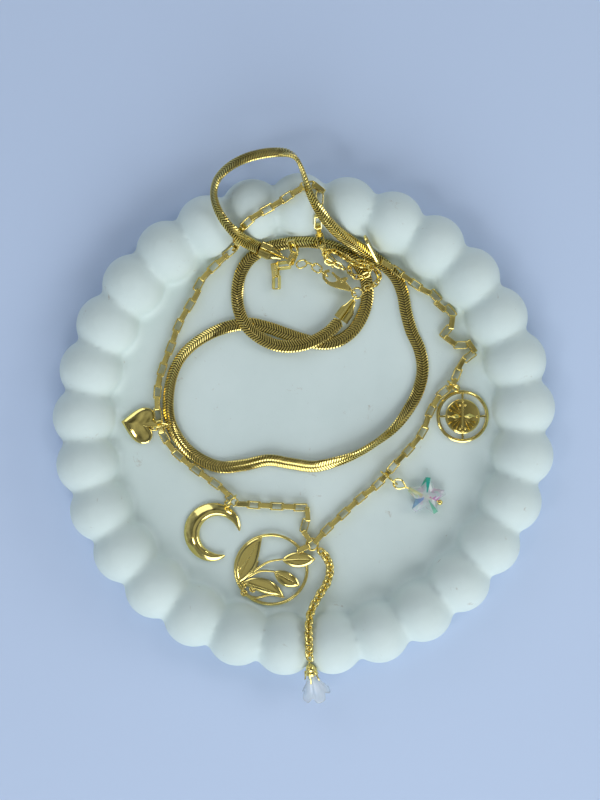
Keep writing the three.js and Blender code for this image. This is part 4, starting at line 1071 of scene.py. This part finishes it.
def ray(length, narrow, wide, tall):
    """A ridge that widens outwards along X, like a thin tent."""
    bm = bmesh.new()
    bmesh.ops.create_cone(bm, cap_ends=True, segments=4, radius1=narrow, radius2=wide, depth=length)
    bmesh.ops.rotate(bm, cent=(0, 0, 0), matrix=Matrix.Rotation(math.pi / 2, 3, "Y"), verts=bm.verts)
    bmesh.ops.scale(bm, vec=(1, 1, tall / wide), verts=bm.verts)
    soften_edges(bm, bm.edges[:], 0.04, 1)
    return bm


def lozenge(half_length, half_width, height):
    bm = bmesh.new()
    bmesh.ops.create_cone(bm, cap_ends=True, segments=4, radius1=1, radius2=0.25, depth=height)
    bmesh.ops.scale(bm, vec=(half_length, half_width, 1), verts=bm.verts)
    return bm


def mark_height(bm, base, low, rate):
    """Keeps the height above a level as an attribute, so that a finish can paint shade low down."""
    height = bm.verts.layers.float.new(HEIGHT)
    for vert in bm.verts:
        vert[height] = min(1.0, base + max(0.0, vert.co.z - low) * rate)
    return height


print("relief helpers ready")

# %% Medallion
# The hoop's and the plate's outlines: distance from the middle, and height.
HOOP_SECTION = [(7.75, -0.6), (7.75, 0.35), (8.0, 0.6), (8.45, 0.58), (8.85, 0.3), (8.85, -0.6)]
DISC_SECTION = [(0.0, 0.3), (5.1, 0.3), (5.3, 0.42), (5.65, 0.46), (5.9, 0.3), (5.9, -0.4), (0.0, -0.4)]
SPOKE_AT, ARM_AT, RAY_AT = 6.85, 2.4, 3.2  # how far from the middle each of these lies
DOTS = [
    (0, 5.0), (-0.9, 3.8), (0.9, 3.8), (0, 2.7), (-0.9, -4.2), (0.9, -4.2), (0, -5.2), (-4.8, 0), (4.8, 0),
]
FANS, FAN_SPREAD = (135, 225, 315), 17

medal = bmesh.new()
add_copies(medal, turned_part(HOOP_SECTION, 96, closed=True))
add_copies(medal, turned_part(DISC_SECTION, 72))
spokes = [turned(turn) @ Matrix.Translation((SPOKE_AT, 0, 0)) for turn in (0, 90, 180, 270)]
add_copies(medal, soft_box(2.5, 0.7, 0.8), spokes)
add_copies(medal, soft_box(0.7, 8.6, 0.6), [Matrix.Translation((0, 0.2, 0.6))])
add_copies(medal, lozenge(2.3, 0.95, 0.6), [Matrix.Translation((x, 0, 0.6)) for x in (-ARM_AT, ARM_AT)])
add_copies(medal, bead(0.45), [Matrix.Translation((x, y, 0.42)) for x, y in DOTS])
rays = [
    turned(middle + step * FAN_SPREAD) @ Matrix.Translation((RAY_AT, 0, 0.3))
    for middle in FANS for step in (-1, 0, 1)
]
add_copies(medal, ray(3.7, 0.08, 0.52, 0.62), rays)
add_bail(medal, -2.2, 9.6, 0.6)
# Painted shade: the low parts of the relief are darker.
mark_height(medal, 0.55, 0.32, 2.0)
move(medal, placed(53.754, 2.658, 6.72))
add_piece("rayed_medallion", medal, "medallion", shade_plates, 35, RELIEF)
# %% [markdown]
# ## Leaf pendant
# A branch is cut out of sheet gold inside a thin hoop. The leaves are plates between two arcs whose
# faces rise in steps to a soft dome, with a raised rib along each and veins to its sides. Stems are
# wires that taper, and three small scrolls, each a bead in a ring, fill the lower left.

# %% Leaves and stems
# From the radius bright_from outwards the hoop gets no painted shade.
PENDANT = {"width": 25.4, "height": 24.6, "wire": 0.55, "thickness": 0.9, "bright_from": 11.3, "tilt": 1.7}
LEAVES = [  # stem end, tip, bulge to each side
    ((3.6, 3.4), (15.0, 3.6), (2.0, 1.9)),
    ((1.0, -0.6), (9.6, -5.4), (2.0, 1.7)),
    ((-9.8, -4.2), (4.2, -8.8), (1.0, 2.7)),
]
VEINS_AT = (0.3, 0.45, 0.6, 0.75)  # parts of a leaf's length
STEMS = [
    [(-9.6, -3.2), (-4.8, 0.2), (-1.0, 2.6), (4.0, 3.6)],
    [(-8.0, -2.6), (-3.6, -0.5), (1.2, -0.6)],
    [(-6.4, -1.6), (-5.2, 1.0), (-4.4, 3.0)],
    [(-9.2, -8.4), (-5.4, -9.6), (0.0, -8.6), (4.6, -9.4)],
]
SCROLLS = [(-9.3, -5.2), (-6.3, -6.6), (-9.2, -7.9)]
DOME = [(0.2, 0.14), (0.3, 0.14), (0.4, 0.1), (0.4, 0.05)]


def tapered_wire(rows, radius, tip, z, sides=8, steps=24):
    """A round wire through a few points that thins towards its end."""
    route = Route([(*row, z) if len(row) == 2 else row for row in rows])
    outlines = []
    for part in np.linspace(0, 1, steps):
        size = (radius + (tip - radius) * part) * (0.55 if part in (0.0, 1.0) else 1.0)
        frame_matrix = route.frame(part * route.length)
        turns = [2 * math.pi * side / sides for side in range(sides)]
        outlines.append([frame_matrix @ Vector((0, size * math.cos(a), size * math.sin(a))) for a in turns])
    bm = bmesh.new()
    sweep(bm, outlines)
    return bm


def leaf_outline(near, far, bulge):
    across = (far - near).orthogonal().normalized()

    def arc(amount, start, end):
        handles = ((0.25, 1.85), (0.75, 1.7))
        return [start.lerp(end, part) + across * amount * reach for part, reach in handles] + [end]

    return bezier([near, *arc(-bulge[0], near, far), *arc(bulge[1], far, near)], 12)[:-1]


branch = bmesh.new()
for start, tip, bulge in LEAVES:
    near, far = Vector(start), Vector(tip)
    along, across = (far - near).normalized(), (far - near).orthogonal().normalized()
    add_copies(branch, plate(leaf_outline(near, far, bulge), PENDANT["thickness"], 0.12, DOME))
    bend = near.lerp(far, 0.5) + across * 0.25
    add_copies(branch, tapered_wire([near, bend, far], 0.3, 0.12, PENDANT["thickness"] / 2 + 0.3))
    for root in [near.lerp(far, part) for part in VEINS_AT]:
        for side in (-1, 1):
            end = root + along + across * side * 1.1
            add_copies(branch, tapered_wire([root, root.lerp(end, 0.5), end], 0.14, 0.06, 0.68, 5, 5))
for stem in STEMS:
    add_copies(branch, tapered_wire(stem, 0.55, 0.34, 0.15))
print("the branch has", len(branch.faces), "faces so far")

# %% Hoop, crescent leaf and scrolls
half_width, half_height = (PENDANT[side] / 2 - PENDANT["wire"] for side in ("width", "height"))
hoop = wire_ring(half_width, PENDANT["wire"], 1.0, 96, 10)
bmesh.ops.scale(hoop, vec=(1, PENDANT["height"] / PENDANT["width"], 1), verts=hoop.verts)
add_copies(branch, hoop)
rim = [
    Vector((half_width * math.cos(math.radians(a)), half_height * math.sin(math.radians(a))))
    for a in range(104, 205, 5)
]
inner_edge = bezier([rim[-1], (-8.6, -3.6), (-6.4, -1.2), (-5.2, 1.4), (-4.0, 4.0), (-3.4, 8.6), rim[0]], 10)
add_copies(branch, plate(rim[:-1] + inner_edge[:-1], PENDANT["thickness"], 0.14, DOME))
add_copies(branch, tapered_wire([(-10.6, 0.2), (-8.0, 3.4), (-5.6, 7.4), (-3.6, 10.6)], 0.24, 0.12, 0.78))
for x, y in SCROLLS:
    add_copies(branch, wire_ring(0.95, 0.28, 1.0, 24, 8), [Matrix.Translation((x, y, 0.5))])
    add_copies(branch, bead(0.62, 1.0), [Matrix.Translation((x, y, 0.45))])
add_copies(branch, bead(0.6, 0.9), [Matrix.Translation((14.3, 3.6, 0.5))])
# Painted shade: the low parts of the branch are darker, and the hoop is kept free of it.
height = mark_height(branch, 0.5, 0.42, 1.7)
for vert in branch.verts:
    if vert.co.xy.length > PENDANT["bright_from"]:
        vert[height] = 1.0
low_side = Vector((0, -1, 0))
low_side.rotate(Matrix.Rotation(math.radians(33), 3, "Z"))
tilt = Matrix.Rotation(math.radians(PENDANT["tilt"]), 4, low_side)
move(branch, Matrix.Translation((-11.2, -49.3, 7.005)) @ tilt)
add_piece("leaf_branch_in_hoop", branch, "leaf_pendant", shade_plates, 50, RELIEF)
# %% [markdown]
# ## Crystal star
# The star is moulded glass with a thin metal-oxide coat: nearly clear, with flashes of green, rose
# and blue that differ from facet to facet. Its facets must stay flat, so it is shaded flat, and
# each facet carries its own tint as a colour attribute that the finish reads.

# %% Star finish
CRYSTAL, tree, shader = new_material("coated_crystal_finish")
tint = add_node(tree, "ShaderNodeAttribute")
tint.attribute_name = "facet_tint"
place = add_node(tree, "ShaderNodeTexCoord")
drift = add_node(tree, "ShaderNodeTexNoise", Scale=420.0, Detail=2.0)
flash = colour_ramp(tree, [(0.4, (0.92, 0.95, 0.98)), (0.52, (0.55, 0.92, 0.78)), (0.6, (0.95, 0.62, 0.86))])
coat_mix = colour_mix(tree, "MULTIPLY", 0.35)
streaks = add_node(tree, "ShaderNodeMapRange", To_Min=0.02, To_Max=0.12)
wire_up(
    tree,
    ((place, "Object"), (drift, "Vector")),
    ((drift, "Fac"), (flash, "Fac")),
    ((drift, "Fac"), (streaks, "Value")),
    ((tint, "Color"), (coat_mix, MIX_A)),
    ((flash, "Color"), (coat_mix, MIX_B)),
    ((coat_mix, MIX_RESULT), (shader, "Base Color")),
    ((streaks, "Result"), (shader, "Roughness")),
)
shader.inputs["Transmission Weight"].default_value = 0.6
shader.inputs["IOR"].default_value = 1.5
shader.inputs["Coat Weight"].default_value = 0.6
shader.inputs["Coat Roughness"].default_value = 0.03
print("crystal finish ready")

# %% Star
STAR = {"outer": 6.5, "inner": 3.8, "half": 2.0, "girdle": 0.6, "angle": 84.5, "pin": -24.2}
STAR_CORNERS = [(-7, STAR["outer"]), (7, STAR["outer"]), (36, STAR["inner"])]  # degrees from a point, reach
STAR_LEVELS = [  # scale, and height
    (0.5, -STAR["half"]), (1.0, -STAR["girdle"]), (1.0, STAR["girdle"]), (0.78, 1.5), (0.5, STAR["half"]),
    (0.22, 1.85),
]
STAR_PLACE = placed(41.265, -24.346, 8.12)
# Where a flash lies: its angle round the star, how many degrees it spans, and its colour.
FLASHES = [
    (86, 13, (0.04, 0.62, 0.48)), (-16, 13, (0.92, 0.30, 0.72)), (206, 10, (0.35, 0.58, 0.95)),
    (300, 11, (0.35, 0.80, 0.58)), (165, 12, (0.86, 0.90, 0.58)), (40, 10, (0.95, 0.80, 0.88)),
]
CLEAR = (0.93, 0.96, 0.97)
CLEAR_MIDDLE = 1.2  # no flash lies nearer to the star's middle


def star_outline(scale, z):
    points = []
    for point in range(5):
        for turn, radius in STAR_CORNERS:
            at = math.radians(STAR["angle"] + 72 * point + turn)
            points.append(Vector((radius * scale * math.cos(at), radius * scale * math.sin(at), z)))
    return points


def facet_colour(middle):
    angle = math.degrees(math.atan2(middle.y, middle.x))
    for centre, span, colour in FLASHES:
        if middle.xy.length > CLEAR_MIDDLE and abs((angle - centre + 180) % 360 - 180) < span:
            return colour
    return CLEAR


star_mesh = bmesh.new()
sweep(star_mesh, [star_outline(scale, z) for scale, z in STAR_LEVELS])
bmesh.ops.triangulate(star_mesh, faces=[face for face in star_mesh.faces if len(face.verts) == 4])
soften_edges(star_mesh, corners(star_mesh, 12), 0.06, 1)
facet_tint = star_mesh.loops.layers.float_color.new("facet_tint")
for face in star_mesh.faces:
    colour = facet_colour(face.calc_center_median())
    for corner in face.loops:
        corner[facet_tint] = (*colour, 1)
move(star_mesh, STAR_PLACE)
star = finish_object("faceted_star", star_mesh)
dress(star, CRYSTAL, ["star_crystal"])

# %% Pin, ball and teardrop
PIN_WIRE = 0.34
# Round one side of the loop to its tip; the other side mirrors it.
LOOP_SIDE = [(-7.4, 0, 0), (-8.2, 0.55, 0), (-9.8, 1.55, 0), (-11.4, 1.2, 0)]

pin = bmesh.new()
add_copies(pin, cylinder(PIN_WIRE, 12.7, placed(-1.25, 0, 0) @ turned(90, "Y")))
add_copies(pin, bead(0.95, 1.0), [Matrix.Translation((5.1, 0, 0))])
teardrop = [*LOOP_SIDE, (-12.0, 0, 0), *[(x, -y, z) for x, y, z in reversed(LOOP_SIDE)]]
add_copies(pin, tapered_wire(teardrop, PIN_WIRE, PIN_WIRE, 0, 8, 40))
move(pin, STAR_PLACE @ turned(STAR["pin"]))
add_piece("headpin_with_loop", pin, "star_pin", angle=40)
# %% [markdown]
# ## Flower
# A bell of five petals in clear milky glass hangs in a gold cap with claws. The bell is swept from
# its neck to its mouth and back inside, so it has a real wall; between petals the outline is drawn
# in. The cap is turned, and five claws are bent down over the petals.

# %% Petal finish
PETALS, tree, shader = new_material("petal_finish")
place = add_node(tree, "ShaderNodeTexCoord")
veins = add_node(tree, "ShaderNodeTexNoise", Scale=260.0, Detail=3.0)
milk = colour_ramp(tree, [(0.35, (0.80, 0.88, 0.93)), (0.7, (0.95, 0.97, 0.98))])
gloss = add_node(tree, "ShaderNodeMapRange", To_Min=0.04, To_Max=0.16)
ripple = add_node(tree, "ShaderNodeBump", Strength=0.15, Distance=0.0002)
wire_up(
    tree,
    ((place, "Object"), (veins, "Vector")),
    ((veins, "Fac"), (milk, "Fac")),
    ((veins, "Fac"), (gloss, "Value")),
    ((veins, "Fac"), (ripple, "Height")),
    ((milk, "Color"), (shader, "Base Color")),
    ((gloss, "Result"), (shader, "Roughness")),
    ((ripple, "Normal"), (shader, "Normal")),
)
shader.inputs["Transmission Weight"].default_value = 0.6
shader.inputs["IOR"].default_value = 1.45
print("petal finish ready")

# %% Bell
FLOWER = {
    "petals": 5, "length": 10.0, "neck_at": 3.55,
    "notch": 0.2, "full_notch": 3.5,  # depth between petals, and the radius where it is reached
    "rise": 1.6, "tightness": 6,  # how far the mouth draws back between petals, and how narrowly
}
BELL_SIDES = 80
FLOWER_PLACE = placed(1.85, -79.9, 15.9, 11) @ turned(125, "X")
BELL = [  # radius and height: outside from the neck to the mouth, then back inside
    (1.2, 0.0), (1.5, 1.2), (1.85, 2.5), (2.5, 4.4), (3.2, 6.3), (4.0, 8.0), (4.7, 9.4), (4.95, 9.9),
    (4.8, 10.0), (4.3, 9.5), (3.5, 8.1), (2.7, 6.4), (1.95, 4.6), (1.1, 3.2), (0.5, 2.8),
]


def bell_outline(radius, height):
    """Five lobes that deepen towards the mouth, which draws back between them."""
    points = []
    for step in range(BELL_SIDES):
        angle = 2 * math.pi * step / BELL_SIDES
        between = abs(math.sin(angle * FLOWER["petals"] / 2)) ** FLOWER["tightness"]
        depth = FLOWER["notch"] * min(1.0, radius / FLOWER["full_notch"])
        reach = radius * (1 - depth * between)
        z = height - FLOWER["rise"] * between * (height / FLOWER["length"]) ** 3
        points.append(Vector((reach * math.cos(angle), reach * math.sin(angle), z)))
    return points


bell = bmesh.new()
sweep(bell, [bell_outline(radius, height) for radius, height in BELL])
move(bell, FLOWER_PLACE @ Matrix.Translation((0, 0, FLOWER["neck_at"])))
add_piece("glass_petals", bell, "flower_petals", material=PETALS)

# %% Clawed cap
CAP_PROFILE = [
    (0.0, 0.0), (0.8, 0.0), (1.1, 0.2), (1.45, 0.8), (1.6, 1.4), (1.5, 1.9), (1.75, 2.3), (2.0, 3.0),
    (1.95, 3.4), (0.0, 3.4),
]
CLAW_ROWS = [(1.75, 0, 2.2), (2.05, 0, 3.4), (2.15, 0, 4.4), (2.35, 0, 5.4), (2.7, 0, 6.2)]

cap = bmesh.new()
add_copies(cap, turned_part(CAP_PROFILE, 40))
add_copies(cap, wire_ring(0.85, 0.3, 1.0, 24, 8), [Matrix.Translation((0, 0, -0.7)) @ turned(90, "Y")])
claws = [turned(72 * index + 36) for index in range(FLOWER["petals"])]
add_copies(cap, tapered_wire(CLAW_ROWS, 0.42, 0.2, 0), claws)
move(cap, FLOWER_PLACE)
add_piece("clawed_flower_cap", cap, "flower_cap", angle=40)
# %% [markdown]
# ## Tag
# A small plain plate with rounded ends hangs from the end of the extender chain. Its upper face is
# slightly dished inside a raised border: an inset of the face is pushed down.

# %% Tag
TAG = {"length": 11.2, "width": 5.0, "thickness": 0.8, "hole": 0.7}
TAG_DISH = [(0.45, 0.0), (0.12, -0.12)]
TAG_PLACE = placed(22.5, 58.2, 14.2, 120.5) @ turned(-25, "Y") @ turned(76, "X")

tag_half, tag_round = (TAG["length"] - TAG["width"]) / 2, TAG["width"] / 2
tag_outline = [
    (math.copysign(tag_half, math.cos(a)) + tag_round * math.cos(a), tag_round * math.sin(a))
    for a in (math.radians(degrees + 5) for degrees in range(0, 360, 10))
]
hole_at = Matrix.Translation((tag_half + tag_round * 0.4, 0, 0))
tag = cut_away(plate(tag_outline, TAG["thickness"], 0.14, TAG_DISH), cylinder(TAG["hole"], 3.0, hole_at))
move(tag, TAG_PLACE)
add_piece("plain_tag", tag, "tag_plate", shade_plates, 50)
